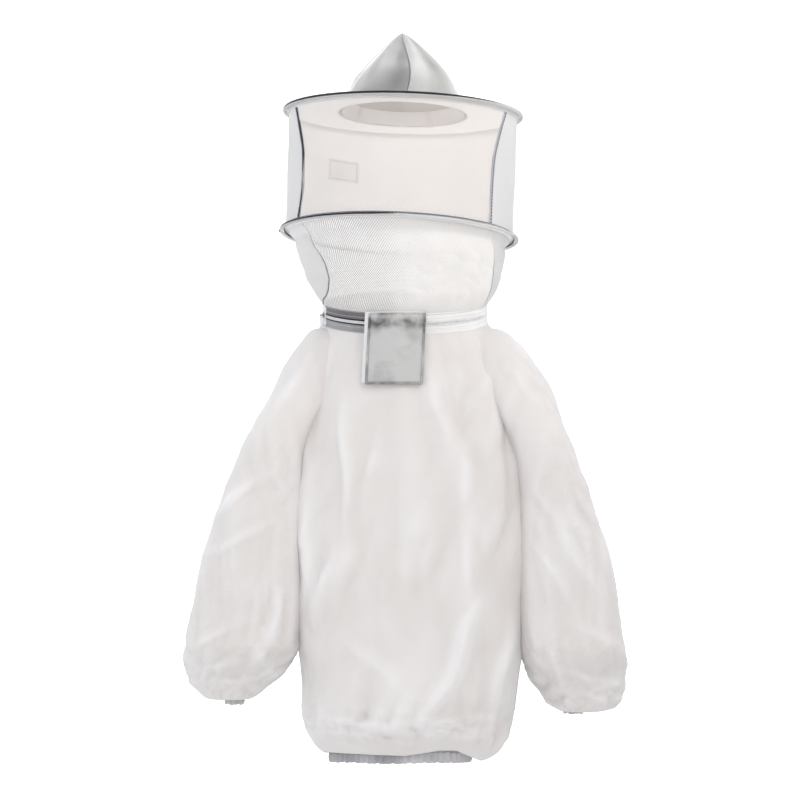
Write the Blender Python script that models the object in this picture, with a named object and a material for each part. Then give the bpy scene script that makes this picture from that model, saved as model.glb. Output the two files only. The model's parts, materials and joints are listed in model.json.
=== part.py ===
"""White pull-over beekeeping jacket with a zip-on round-hat veil, shaped as if it is being worn.

Metres, +Z up, the front faces -Y and the hem's lower edge is at Z = 0. The fabric is plain here: each
panel is a thin closed wall of its true outer shape.
"""
import math

import bmesh
import bpy
from mathutils import Matrix, Vector

# Driving dimensions
GAP = 0.0003                    # clearance between pieces that touch
SEAM = 0.0006                   # clearance between two panels along a seam
COTTON = 0.0020                 # wall of the jacket's fabric
NET = 0.0012                    # wall of the veil's net and panels

HOOP_RADIUS = 0.1880            # centre line of each wire hoop
HOOP_WIRE = 0.0015              # the wire's radius
UPPER_HOOP_Z = 1.0560
LOWER_HOOP_Z = 0.8580
CHANNEL_HALF = 0.0034           # half-height of the fabric channel round a hoop's wire
CHANNEL_OUT = 0.0032            # how far the channel reaches outside the wire's centre line
CHANNEL_IN = 0.0035             # and inside it
CHANNEL_WALL = 0.0012

VEIL_RADIUS = 0.1818            # outer face of the upright veil wall
BOWL_TOP_RADIUS = 0.1770        # outer face of the lower veil under the lower hoop
WINDOW = (-151.5, -38.0)        # the front net window runs between these two bound seams
CROWN_WIDE = 0.1015             # half-width of the crown's base
CROWN_DEEP = 0.1150             # half-depth of the crown's base
CROWN_TOP_Z = 1.1828
CROWN_ROUND = 1.35              # a larger number gives a fuller crown

NECK_Z = 0.7280                 # centre of the neck zip
NECK_TILT = 13.0                # the neck's plane drops towards the front
NECK_RADIUS = 0.1320            # the zip's teeth run on this circle
TEETH = (0.0008, 0.0030)        # height of one row of teeth above and below the neck's plane
TAPE_TOP = 0.0145
BINDING_TOP = 0.0175
ZIP_START, ZIP_END = -80.0, 246.0    # the zip runs from under the flap round the back to the flap
SLIDER_PARKED = 192.0
PULL_LEAN = 52.0                # the pull rests on the shoulder at this angle from the neck's axis

SHOULDER_X, SHOULDER_Z = 0.150, 0.600    # the arm swings about an axis along Y through here
ARM_SEAM = 0.125                # radius of the dropped-shoulder seam about that axis
HEM_HEIGHT = 0.0180
CUFF_Z, CUFF_HEIGHT = 0.0840, 0.0145
CUFF_X = 0.2785
BAND_WIDTH = 0.0060             # thickness of the gathered hem and cuff bands

FLAP_Z = (0.6060, 0.7180)
FLAP_X = (-0.0540, 0.0360)
FLAP_BACKING_X = (-0.0620, 0.0300)
FLAP_FACE_Y = -0.1412           # inner face of the loop patch at the middle of the chest
FLAP_CURVE = 2.20               # y rises by this times x squared
FLAP_LEAN = 0.055               # and by this times the height above the flap's lower edge

# Half-width and half-depth of the body at each height, with the share of the neck's tilt there
BODY = (
    (HEM_HEIGHT + GAP, 0.1245, 0.0990, 0.0),
    (0.040, 0.1520, 0.1220, 0.0),
    (0.075, 0.1655, 0.1370, 0.0),
    (0.125, 0.1735, 0.1460, 0.0),
    (0.190, 0.1825, 0.1520, 0.0),
    (0.300, 0.1880, 0.1545, 0.0),
    (0.400, 0.1905, 0.1535, 0.0),
    (0.480, 0.1900, 0.1500, 0.0),
    (0.560, 0.1840, 0.1440, 0.0),
    (0.630, 0.1730, 0.1385, 0.2),
    (0.675, 0.1570, 0.1350, 0.7),
)
# Inner edge, outer edge and half-depth of an arm at each height
ARM = (
    (0.6980, 0.1000, 0.1560, 0.045),
    (0.6900, 0.0900, 0.1700, 0.062),
    (0.6600, 0.0900, 0.1980, 0.082),
    (0.6200, 0.0950, 0.2240, 0.088),
    (0.5800, 0.1150, 0.2420, 0.090),
    (0.5360, 0.1500, 0.2580, 0.088),
    (0.4940, 0.1860, 0.2727, 0.084),
    (0.4830, 0.1925, 0.2762, 0.083),
    (0.4400, 0.1945, 0.2900, 0.080),
    (0.3800, 0.1950, 0.3090, 0.077),
    (0.3000, 0.1940, 0.3300, 0.074),
    (0.2400, 0.1910, 0.3435, 0.074),
    (0.1700, 0.1870, 0.3525, 0.076),
    (0.1350, 0.1950, 0.3515, 0.072),
    (0.1150, 0.2140, 0.3450, 0.060),
    (0.1030, 0.2350, 0.3260, 0.044),
    (CUFF_Z + CUFF_HEIGHT + GAP, 0.2450, 0.3120, 0.0300),
)
ROUND_STEPS = 36

WHITE = (0.86, 0.85, 0.84)
NET_WHITE = (0.90, 0.90, 0.90)
SILVER = (0.52, 0.52, 0.52)
DARK = (0.16, 0.16, 0.17)
GREY = (0.42, 0.42, 0.42)
STEEL = (0.60, 0.61, 0.62)


def clear_scene():
    for obj in list(bpy.data.objects):
        bpy.data.objects.remove(obj, do_unlink=True)


def finish_node(obj, colour, roughness=0.85, metallic=0.0):
    """Give an object its own Principled material."""
    material = bpy.data.materials.new(obj.name)
    material.use_nodes = True
    shader = material.node_tree.nodes["Principled BSDF"]
    shader.inputs["Base Color"].default_value = (*colour, 1.0)
    shader.inputs["Roughness"].default_value = roughness
    shader.inputs["Metallic"].default_value = metallic
    obj.data.materials.append(material)
    return obj


def solid(name, points, faces):
    """A closed body from points and faces, with its faces turned outwards."""
    mesh = bpy.data.meshes.new(name)
    mesh.from_pydata([tuple(point) for point in points], [], faces)
    body = bmesh.new()
    body.from_mesh(mesh)
    bmesh.ops.recalc_face_normals(body, faces=body.faces)
    bmesh.ops.triangulate(body, faces=body.faces)
    body.to_mesh(mesh)
    body.free()
    mesh.shade_smooth()
    mesh.set_sharp_from_angle(angle=math.radians(35))
    obj = bpy.data.objects.new(name, mesh)
    bpy.context.scene.collection.objects.link(obj)
    return obj


def guide(obj):
    """Mark an object as a cutter: it shapes other objects and isn't part of the model."""
    obj.hide_render = True
    obj.display_type = "WIRE"
    return obj


def boolean(obj, operation, other):
    modifier = obj.modifiers.new(f"{operation} {other.name}", "BOOLEAN")
    modifier.operation = operation
    modifier.solver = "EXACT"
    modifier.object = other


def put_pivot(obj, pivot):
    """Move an object's origin to its joint's axis without moving its shape."""
    obj.data.transform(Matrix.Translation(-pivot))
    obj.location = pivot


# Places: each takes a distance from an outline, an angle in degrees and a height

def upright(wide, deep, base_z, centre_x=0.0):
    """A level oval outline with half-axes wide and deep."""
    def place(out, angle, height):
        turn = math.radians(angle)
        return Vector((centre_x + (wide + out) * math.cos(turn), (deep + out) * math.sin(turn), base_z + height))
    return place


NECK_FRAME = Matrix.Translation((0, 0, NECK_Z)) @ Matrix.Rotation(math.radians(NECK_TILT), 4, "X")
NECK_AXIS = (NECK_FRAME.to_3x3() @ Vector((0, 0, 1))).normalized()


def round_neck(out, angle, height):
    """The tilted neck circle: out is measured from the line of the zip's teeth."""
    turn = math.radians(angle)
    radius = NECK_RADIUS + out
    return NECK_FRAME @ Vector((radius * math.cos(turn), radius * math.sin(turn), height))


def sweep(name, place, section, start=0.0, end=360.0, steps=ROUND_STEPS):
    """Carry a section, a list of (out, height) points, round an outline from start to end."""
    full = end - start >= 360.0
    rings = steps if full else steps + 1
    count = len(section)
    points = []
    for ring in range(rings):
        angle = start + (end - start) * ring / steps
        points += [place(out, angle, height) for out, height in section]
    faces = []
    for ring in range(steps):
        first, second = ring * count, (ring + 1) % rings * count
        for k in range(count):
            after = (k + 1) % count
            faces.append((first + k, first + after, second + after, second + k))
    if not full:
        faces.append(tuple(range(count)))
        faces.append(tuple(range((rings - 1) * count, rings * count)))
    return solid(name, points, faces)


def box_section(out_low, out_high, low, high):
    return [(out_low, low), (out_high, low), (out_high, high), (out_low, high)]


def round_section(out, height, radius, sides=6):
    turns = [2 * math.pi * k / sides for k in range(sides)]
    return [(out + radius * math.cos(turn), height + radius * math.sin(turn)) for turn in turns]


def shell(name, surface, across, along, closed=False):
    """A thin wall between surface(u, v, 0), its outer face, and surface(u, v, 1), its inner face.

    u runs over across + 1 columns and v over along + 1 rows. A closed wall joins its last column to
    its first and stays open at its two ends.
    """
    columns = across if closed else across + 1
    points = []
    for side in (0, 1):
        for row in range(along + 1):
            points += [surface(column / across, row / along, side) for column in range(columns)]
    offset = columns * (along + 1)
    faces = []

    def corner(column, row):
        return row * columns + column % columns

    for row in range(along):
        for column in range(across):
            face = [corner(column, row), corner(column + 1, row), corner(column + 1, row + 1), corner(column, row + 1)]
            faces.append(tuple(face))
            faces.append(tuple(offset + k for k in reversed(face)))
    for row in (0, along):
        for column in range(across):
            a, b = corner(column, row), corner(column + 1, row)
            faces.append((a, b, offset + b, offset + a))
    if not closed:
        for column in (0, across):
            for row in range(along):
                a, b = row * columns + column, (row + 1) * columns + column
                faces.append((a, b, offset + b, offset + a))
    return solid(name, points, faces)


def loft(name, rings):
    """A capped solid through closed rings of equal length."""
    count = len(rings[0])
    points = [point for ring in rings for point in ring]
    faces = [tuple(range(count)), tuple(range(len(points) - count, len(points)))]
    for ring in range(len(rings) - 1):
        for k in range(count):
            a, b = ring * count + k, ring * count + (k + 1) % count
            faces.append((a, b, b + count, a + count))
    return solid(name, points, faces)


def block(name, centre, size):
    half = Vector(size) / 2
    corners = [Vector((x, y, z)) for z in (-1, 1) for x, y in ((-1, -1), (1, -1), (1, 1), (-1, 1))]
    rings = [[Vector(centre) + Vector((c.x * half.x, c.y * half.y, c.z * half.z)) for c in corners[i:i + 4]]
             for i in (0, 4)]
    return loft(name, rings)


# Hat

def hoop(level, base_z):
    """A wire hoop and the folded fabric channel that holds it, open towards the middle."""
    place = upright(HOOP_RADIUS, HOOP_RADIUS, base_z)
    wire = sweep(f"{level}_hoop_wire", place, round_section(0, 0, HOOP_WIRE, sides=5))
    finish_node(wire, STEEL, roughness=0.35, metallic=1.0)
    wall = CHANNEL_WALL
    section = [
        (-CHANNEL_IN, CHANNEL_HALF), (-CHANNEL_IN, CHANNEL_HALF - wall),
        (CHANNEL_OUT - wall, CHANNEL_HALF - wall), (CHANNEL_OUT - wall, wall - CHANNEL_HALF),
        (-CHANNEL_IN, wall - CHANNEL_HALF), (-CHANNEL_IN, -CHANNEL_HALF),
        (CHANNEL_OUT, -CHANNEL_HALF), (CHANNEL_OUT, CHANNEL_HALF),
    ]
    channel = sweep(f"{level}_hoop_channel", place, section)
    finish_node(channel, DARK if level == "upper" else GREY)


def brim():
    """The flat fabric disc between the upper hoop and the head opening."""
    edge = HOOP_RADIUS - CHANNEL_IN - GAP
    half = NET / 2

    def surface(u, v, side):
        turn = 2 * math.pi * u
        wide = edge + (CROWN_WIDE - edge) * v
        deep = edge + (CROWN_DEEP - edge) * v
        height = half if side == 0 else -half
        return Vector((wide * math.cos(turn), deep * math.sin(turn), UPPER_HOOP_Z + height))

    finish_node(shell("hat_brim", surface, ROUND_STEPS, 1, closed=True), WHITE)


def crown_gore(number):
    """One of four gores of the pointed crown, sewn together along the front, back and sides."""
    base_z = UPPER_HOOP_Z + NET / 2 + GAP
    height = CROWN_TOP_Z - base_z
    stop = 0.985

    def surface(u, v, side):
        share = v * stop
        full = 1 - share ** CROWN_ROUND
        wide = CROWN_WIDE * full - (NET if side else 0)
        deep = CROWN_DEEP * full - (NET if side else 0)
        radius = max(wide, 0.001)
        trim = math.degrees(math.asin(min(SEAM / 2 / radius, 0.7)))
        turn = math.radians(-90 + 90 * number + trim + (90 - 2 * trim) * u)
        return Vector((radius * math.cos(turn), max(deep, 0.001) * math.sin(turn), base_z + share * height))

    names = ("crown_gore_front_right", "crown_gore_back_right", "crown_gore_back_left", "crown_gore_front_left")
    finish_node(shell(names[number], surface, 6, 6), SILVER, roughness=0.45)


def sweatband():
    """The head band inside the crown, with two short hanging tabs at its back."""
    inset = NET + 0.0030
    base_z = UPPER_HOOP_Z + NET / 2 + GAP
    place = upright(CROWN_WIDE - inset, CROWN_DEEP - inset, base_z)
    section = [(0.0, 0.0), (-0.0012, 0.0), (-0.0117, 0.020), (-0.0105, 0.020)]
    finish_node(sweep("sweatband", place, section), WHITE)
    for side, angle in (("left", 141.0), ("right", 62.0)):
        tab = [(-0.0014, -0.004), (-0.0024, -0.004), (-0.0130, 0.018), (-0.0120, 0.018)]
        name = f"head_tab_{side}"
        finish_node(sweep(name, place, tab, start=angle - 3.2, end=angle + 3.2, steps=1), NET_WHITE)


# Veil

def veil_wall():
    """The upright veil between the hoops: a front net window, a back panel and two bound seams."""
    low = LOWER_HOOP_Z + CHANNEL_HALF + GAP
    high = UPPER_HOOP_Z - CHANNEL_HALF - GAP
    place = upright(VEIL_RADIUS, VEIL_RADIUS, 0.0)
    seam_half = math.degrees(0.0035 / VEIL_RADIUS)
    clear = math.degrees(SEAM / VEIL_RADIUS)
    section = box_section(-NET, 0.0, low, high)
    first, last = WINDOW
    window = sweep("veil_window_net", place, section, first + seam_half + clear, last - seam_half - clear, 16)
    finish_node(window, NET_WHITE)
    back = sweep("veil_back_panel", place, section, last + seam_half + clear, first + 360 - seam_half - clear, 26)
    finish_node(back, NET_WHITE)
    bound = box_section(-0.0024, 0.0012, low, high)
    for side, angle in (("left", first), ("right", last)):
        seam = sweep(f"veil_seam_{side}", place, bound, angle - seam_half, angle + seam_half, 1)
        finish_node(seam, GREY)
    label = box_section(-NET - 0.0020, -NET - 0.0012, 0.968, 1.003)
    finish_node(sweep("care_label", place, label, 114.0, 133.0, 2), WHITE)


def bowl_radius(share):
    """Outer radius of the lower veil, from the lower hoop at 0 to the neck at 1."""
    neck = NECK_RADIUS + 0.0020
    return neck + (BOWL_TOP_RADIUS - neck) * (1 - share ** 2.4)


def bowl_panel(name, start, end, steps):
    """One panel of the lower veil, which narrows from the hoop to the tilted neck."""
    top = LOWER_HOOP_Z - CHANNEL_HALF - GAP
    rows = 6

    def surface(u, v, side):
        angle = start + (end - start) * u
        turn = math.radians(angle)
        radius = bowl_radius(v) - (NET if side else 0)
        neck = round_neck(radius - NECK_RADIUS, angle, BINDING_TOP + GAP)
        level = Vector((radius * math.cos(turn), radius * math.sin(turn), top))
        return Vector((level.x + (neck.x - level.x) * v, level.y + (neck.y - level.y) * v,
                       level.z + (neck.z - level.z) * v))

    finish_node(shell(name, surface, steps, rows), NET_WHITE)


def bowl():
    trim = math.degrees(SEAM / 2 / NECK_RADIUS)
    first, last = WINDOW
    bowl_panel("lower_veil_front", first + trim, last - trim, 12)
    bowl_panel("lower_veil_back", last + trim, first + 360 - trim, 22)


# Neck zip

def zip_half(side, sign, owner):
    """One half of the neck zip with its stitched binding. sign is 1 for the veil and -1 for the jacket."""
    def mirrored(out_low, out_high, low, high):
        low, high = sorted((sign * low, sign * high))
        return box_section(out_low, out_high, low, high)

    teeth = sweep(f"zip_teeth_{side}", round_neck, mirrored(-0.0014, 0.0014, *TEETH), ZIP_START, ZIP_END, 34)
    finish_node(teeth, NET_WHITE, roughness=0.4)
    tape_section = mirrored(-0.0006, 0.0006, TEETH[1] + GAP, TAPE_TOP)
    tape = sweep(f"zip_tape_{side}", round_neck, tape_section, ZIP_START, ZIP_END, 34)
    finish_node(tape, GREY)
    binding_section = mirrored(-0.0015, 0.0020, TAPE_TOP + GAP, BINDING_TOP)
    finish_node(sweep(f"{owner}_neck_binding", round_neck, binding_section), WHITE)


def zip_stops():
    """A small block at each end of the zip's lower row, which holds the slider on it."""
    for name, angle in (("zip_stop_start", ZIP_START - 1.2), ("zip_stop_end", ZIP_END + 1.2)):
        section = box_section(-0.0016, 0.0016, -0.0040, -TEETH[0])
        finish_node(sweep(name, round_neck, section, angle - 0.9, angle + 0.9, 1), NET_WHITE, roughness=0.4)


def slider():
    """The zip slider: two plates joined by a post that runs between the rows, and a lug for the pull."""
    half_turn = 2.6
    start, end = SLIDER_PARKED - half_turn, SLIDER_PARKED + half_turn
    body = sweep("zip_slider", round_neck, box_section(0.0021, 0.0035, -0.0044, 0.0044), start, end, 2)
    back = sweep("slider_back_plate", round_neck, box_section(-0.0038, -0.0024, -0.0044, 0.0044), start, end, 2)
    post = sweep("slider_post", round_neck, box_section(-0.0028, 0.0028, -0.0004, 0.0004),
                 SLIDER_PARKED - 0.5, SLIDER_PARKED + 0.5, 1)
    lugs = []
    for k in (-1, 1):
        middle = SLIDER_PARKED + k * 1.2
        lugs.append(sweep(f"slider_lug{k}", round_neck, box_section(0.0030, 0.0080, -0.0018, 0.0018),
                          middle - 0.3, middle + 0.3, 1))
    for other in (back, post, *lugs):
        boolean(body, "UNION", guide(other))
    put_pivot_neck(body)
    finish_node(body, STEEL, roughness=0.3, metallic=1.0)


def put_pivot_neck(obj):
    put_pivot(obj, Vector((0, 0, NECK_Z)))


def pull_pin_centre():
    return round_neck(0.0058, SLIDER_PARKED, 0.0)


def slider_pull():
    """The pull tab on a pin between the slider's lugs, resting on the shoulder."""
    centre = pull_pin_centre()
    turn = math.radians(SLIDER_PARKED)
    rotation = NECK_FRAME.to_3x3()
    outward = rotation @ Vector((math.cos(turn), math.sin(turn), 0))
    along = rotation @ Vector((-math.sin(turn), math.cos(turn), 0))
    lean = math.radians(PULL_LEAN)
    down = outward * math.sin(lean) - NECK_AXIS * math.cos(lean)
    across = along.cross(down)

    def bar(name, start, end, half_wide, half_thick):
        rings = []
        for length in (start, end):
            middle = centre + down * length
            rings.append([middle + along * (half_wide * a) + across * (half_thick * b)
                          for a, b in ((-1, -1), (1, -1), (1, 1), (-1, 1))])
        return loft(name, rings)

    tab = bar("zip_pull", 0.0040, 0.0230, 0.0042, 0.0008)
    neck = bar("pull_neck", -0.0008, 0.0060, 0.0018, 0.0008)
    boolean(tab, "UNION", guide(neck))
    put_pivot(tab, centre)
    finish_node(tab, NET_WHITE, roughness=0.4)


# Flap

def curved_plate(name, x_range, z_range, face, thickness, colour, columns=6):
    """A plate that follows the chest's curve; face is its inner side's distance in front of the patch."""
    def surface(u, v, side):
        x = x_range[0] + (x_range[1] - x_range[0]) * u
        z = z_range[0] + (z_range[1] - z_range[0]) * v
        chest = FLAP_FACE_Y + FLAP_CURVE * x * x + FLAP_LEAN * (z - FLAP_Z[0])
        y = chest - face - (0.0 if side else thickness)
        return Vector((x, y, z))

    return finish_node(shell(name, surface, columns, 1), colour)


def flap():
    """The hook-and-loop flap that covers the zip's two ends, and the loop patch that it closes on."""
    low, high = FLAP_Z
    layer = 0.0010
    step = layer + GAP
    curved_plate("loop_patch", (-0.050, 0.026), (low + 0.004, low + 0.040), 0.0, layer, WHITE)
    pieces = (
        curved_plate("hook_patch", (-0.050, 0.026), (low + 0.004, low + 0.040), step, layer, GREY),
        curved_plate("flap_backing", FLAP_BACKING_X, (low, high), 2 * step, layer, WHITE),
        curved_plate("flap_front", FLAP_X, (low + 0.0005, high), 3 * step, layer, GREY),
    )
    for piece in pieces:
        put_pivot(piece, flap_hinge())


def flap_hinge():
    return Vector((0, FLAP_FACE_Y + FLAP_LEAN * (FLAP_Z[1] - FLAP_Z[0]) - 0.0032, FLAP_Z[1]))


# Jacket

def body_ring(row, inset, steps=ROUND_STEPS):
    height, wide, deep, tilt = row
    ring = []
    for k in range(steps):
        turn = 2 * math.pi * (k + 0.5) / steps
        x, y = (wide - inset) * math.cos(turn), (deep - inset) * math.sin(turn)
        ring.append(Vector((x, y, height + tilt * y * math.tan(math.radians(NECK_TILT)))))
    return ring


def neck_ring(inset, height, steps=ROUND_STEPS):
    return [round_neck(0.0020 - inset, 360 * (k + 0.5) / steps, height) for k in range(steps)]


def body_form(name, inset):
    """The body's outer form, or with an inset the hollow inside it, which runs out at both ends."""
    rings = [body_ring(row, inset) for row in BODY]
    neck_top = -BINDING_TOP - GAP
    if inset:
        bottom = BODY[0]
        rings.insert(0, body_ring((bottom[0] - 0.02, *bottom[1:]), inset))
        rings.append(neck_ring(inset, neck_top))
        rings.append(neck_ring(inset, neck_top + 0.02))
    else:
        rings.append(neck_ring(0.0, neck_top))
    return loft(name, rings)


def rounded(centre_x, wide, deep, z, side, steps=20, fullness=2.4):
    """A level ring with full corners."""
    ring = []
    for k in range(steps):
        turn = 2 * math.pi * (k + 0.5) / steps
        c, s = math.cos(turn), math.sin(turn)
        x = wide * math.copysign(abs(c) ** (2 / fullness), c)
        y = deep * math.copysign(abs(s) ** (2 / fullness), s)
        ring.append(Vector((side * (centre_x + x), y, z)))
    return ring


def arm_form(name, side, inset):
    """An arm's outer form, or with an inset the hollow inside it, which runs out at the cuff."""
    rings = []
    for z, inner, outer, deep in ARM:
        level = z - inset if z == ARM[0][0] else z
        rings.append(rounded((inner + outer) / 2, (outer - inner) / 2 - inset, deep - inset, level, side))
    if inset:
        z, inner, outer, deep = ARM[-1]
        rings.append(rounded((inner + outer) / 2, (outer - inner) / 2 - inset, deep - inset, z - 0.02, side))
    return loft(name, rings)


def seam_cylinder(name, side, radius):
    """A round cutter about the arm's swing axis."""
    steps = 48
    rings = []
    for y in (-0.25, 0.25):
        ring = []
        for k in range(steps):
            turn = 2 * math.pi * k / steps
            ring.append(Vector((side * SHOULDER_X + radius * math.cos(turn), y,
                                SHOULDER_Z + radius * math.sin(turn))))
        rings.append(ring)
    return guide(loft(name, rings))


def arm_root(side, inset, radius):
    """The part of an arm that is sewn to the body, inside the dropped-shoulder seam."""
    form = guide(arm_form(f"arm_root_{side}_{inset}", side, inset))
    boolean(form, "INTERSECT", seam_cylinder(f"arm_root_limit_{side}_{inset}", side, radius))
    return form


def jacket_panels():
    """The front and back of the body, with the tops of the arms, as one wall split at the sides."""
    outer_roots = [arm_root(side, 0.0, ARM_SEAM - SEAM / 2) for side in (-1, 1)]
    inner_roots = [arm_root(side, COTTON, ARM_SEAM + 0.004) for side in (-1, 1)]
    hollow = guide(body_form("body_hollow", COTTON))
    for root in inner_roots:
        boolean(hollow, "UNION", root)
    for name, direction in (("jacket_front", 1), ("jacket_back", -1)):
        panel = body_form(name, 0.0)
        for root in outer_roots:
            boolean(panel, "UNION", root)
        middle = direction * (0.4 - SEAM / 2)
        half = guide(block(f"{name}_other_half", (0, middle, 0.4), (1.2, 0.8, 1.2)))
        boolean(panel, "DIFFERENCE", half)
        boolean(panel, "DIFFERENCE", hollow)
        finish_node(panel, WHITE)


def sleeve(side, label):
    """One sleeve, from the dropped-shoulder seam to its gathered cuff."""
    tube = arm_form(f"sleeve_{label}", side, 0.0)
    boolean(tube, "DIFFERENCE", guide(arm_form(f"sleeve_hollow_{label}", side, COTTON)))
    boolean(tube, "DIFFERENCE", seam_cylinder(f"sleeve_limit_{label}", side, ARM_SEAM + SEAM / 2))
    inner = guide(block(f"sleeve_inner_limit_{label}", (side * 0.05, 0, 0.65), (0.26, 0.4, 0.32)))
    boolean(tube, "DIFFERENCE", inner)
    put_pivot(tube, Vector((side * SHOULDER_X, 0, SHOULDER_Z)))
    finish_node(tube, WHITE)
    return tube


def gathered_band(name, place, height, steps, colour):
    """A folded fabric band, open at the top, with the elastic that gathers it lying inside."""
    wall = 0.0012
    half = BAND_WIDTH / 2
    folded = [
        (-half, height), (-half, 0.0), (half, 0.0), (half, height),
        (half - wall, height), (half - wall, wall), (wall - half, wall), (wall - half, height),
    ]
    casing = finish_node(sweep(f"{name}_casing", place, folded, steps=steps), colour)
    elastic_section = box_section(-0.0010, 0.0010, wall + GAP, height - 0.0012)
    elastic = finish_node(sweep(f"{name}_elastic", place, elastic_section, steps=steps), NET_WHITE)
    return casing, elastic


def gathered_edges():
    _, wide, deep, _ = BODY[0]
    inset = BAND_WIDTH / 2
    gathered_band("hem", upright(wide - inset, deep - inset, 0.0), HEM_HEIGHT, ROUND_STEPS, GREY)
    _, inner, outer, deep = ARM[-1]
    for side, label in ((-1, "left"), (1, "right")):
        place = upright((outer - inner) / 2 - inset, deep - inset, CUFF_Z, side * CUFF_X)
        for piece in gathered_band(f"cuff_{label}", place, CUFF_HEIGHT, 20, WHITE):
            put_pivot(piece, Vector((side * SHOULDER_X, 0, SHOULDER_Z)))


def main():
    clear_scene()
    hoop("upper", UPPER_HOOP_Z)
    hoop("lower", LOWER_HOOP_Z)
    brim()
    for number in range(4):
        crown_gore(number)
    sweatband()
    veil_wall()
    bowl()
    zip_half("upper", 1, "veil")
    zip_half("lower", -1, "jacket")
    zip_stops()
    slider()
    slider_pull()
    flap()
    jacket_panels()
    sleeve(-1, "left")
    sleeve(1, "right")
    gathered_edges()


main()
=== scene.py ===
"""The looks of the beekeeping jacket: cloth, net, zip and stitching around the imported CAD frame."""
import json
import math

import bpy
import numpy as np
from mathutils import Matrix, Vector, noise

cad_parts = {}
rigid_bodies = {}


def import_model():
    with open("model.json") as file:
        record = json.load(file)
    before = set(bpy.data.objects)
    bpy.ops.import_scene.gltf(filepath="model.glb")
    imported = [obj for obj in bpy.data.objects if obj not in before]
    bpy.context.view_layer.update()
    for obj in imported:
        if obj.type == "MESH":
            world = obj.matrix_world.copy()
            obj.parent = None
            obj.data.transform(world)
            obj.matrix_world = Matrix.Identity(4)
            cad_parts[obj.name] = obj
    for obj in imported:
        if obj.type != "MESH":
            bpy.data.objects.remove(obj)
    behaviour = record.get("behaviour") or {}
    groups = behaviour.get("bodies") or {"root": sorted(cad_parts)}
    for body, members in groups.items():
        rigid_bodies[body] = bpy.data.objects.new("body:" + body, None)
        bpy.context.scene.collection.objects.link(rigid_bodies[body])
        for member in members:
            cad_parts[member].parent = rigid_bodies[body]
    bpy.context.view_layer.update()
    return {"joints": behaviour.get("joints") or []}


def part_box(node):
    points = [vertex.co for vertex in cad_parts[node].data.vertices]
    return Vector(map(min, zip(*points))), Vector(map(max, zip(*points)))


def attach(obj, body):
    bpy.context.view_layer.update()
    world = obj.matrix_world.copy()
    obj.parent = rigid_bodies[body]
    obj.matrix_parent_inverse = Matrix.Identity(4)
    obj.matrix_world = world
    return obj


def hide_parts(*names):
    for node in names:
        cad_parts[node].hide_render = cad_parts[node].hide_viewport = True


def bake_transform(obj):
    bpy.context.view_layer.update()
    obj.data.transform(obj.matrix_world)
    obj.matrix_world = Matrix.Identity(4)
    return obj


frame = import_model()

# ---------------------------------------------------------------- places, read from the frame

UPPER_LOW, UPPER_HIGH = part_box("upper_hoop_channel")
LOWER_LOW, LOWER_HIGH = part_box("lower_hoop_channel")
UPPER_Z = (UPPER_LOW.z + UPPER_HIGH.z) / 2
LOWER_Z = (LOWER_LOW.z + LOWER_HIGH.z) / 2
HOOP_HALF = (UPPER_HIGH.z - UPPER_LOW.z) / 2
HOOP_R = UPPER_HIGH.x - HOOP_HALF          # centre line of the rolled channel
VEIL_LOW, VEIL_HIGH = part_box("veil_back_panel")
VEIL_R = VEIL_HIGH.x
BRIM_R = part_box("hat_brim")[1].x
CROWN_LOW, CROWN_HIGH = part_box("crown_gore_front_right")
CROWN_A, CROWN_B = CROWN_HIGH.x, -CROWN_LOW.y
BAND_LOW, BAND_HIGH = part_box("sweatband")
FLAP_LOW, FLAP_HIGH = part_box("flap_front")
BACKING_LOW, BACKING_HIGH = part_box("flap_backing")
HOOK_LOW, HOOK_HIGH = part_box("hook_patch")
LOOP_LOW, LOOP_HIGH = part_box("loop_patch")
LABEL_LOW, LABEL_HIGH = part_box("care_label")
HEM_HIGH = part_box("hem_casing")[1]
CUFF_LOW, CUFF_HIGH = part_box("cuff_right_casing")
JOINTS = {joint["name"]: joint for joint in frame["joints"]}
NECK_CENTRE = np.array(JOINTS["slider_travel"]["pos_m"])
NECK_TILT = math.asin(-JOINTS["slider_travel"]["axis"][1])
NECK_R = (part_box("zip_teeth_upper")[1].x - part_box("zip_teeth_upper")[0].x) / 2 - 0.0014
PULL_PIN = np.array(JOINTS["pull_swing"]["pos_m"])
SLIDER_ANGLE = 192.0                       # where the slider is parked on the neck's circle
ZIP_SPAN = (-80.0, 246.0)
TOOTH_PITCH = 0.0026
# where the seams run: share of the way up (or down, for the lower veil), degrees
SEAMS = {
    "left": ((0.0, -150.2), (0.3, -147.4), (0.55, -148.0), (0.8, -152.2), (1.0, -157.0)),
    "right": ((0.0, -39.0), (0.3, -38.3), (0.55, -37.2), (0.8, -33.0), (1.0, -28.0)),
}
BOWL_SEAMS = {
    "left": ((0.0, -149.5), (0.25, -145.0), (0.5, -138.0), (0.75, -142.5), (1.0, -166.0)),
    "right": ((0.0, -32.0), (0.3, -29.0), (0.6, -26.0), (1.0, -22.0)),
}
BOWL_SEED = 4.0                            # picks the lower veil's folds
CLOTH = 0.0008                             # thickness of the jacket's and the crown's cloth
FOLD_HEIGHT = 0.0075                       # height of a fold that counts as 1 in the relief
FLAP_SKEW = -0.0060                        # how far the flap's foot swings to one side
# how the worn hat leans, at the neck, the lower hoop, the upper hoop and the crown's top
LEAN_SIDE = (0.0, 0.046, 0.030, 0.030)
LEAN_BACK = (0.0, 0.058, 0.008, 0.008)

# ---------------------------------------------------------------- small tools


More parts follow.
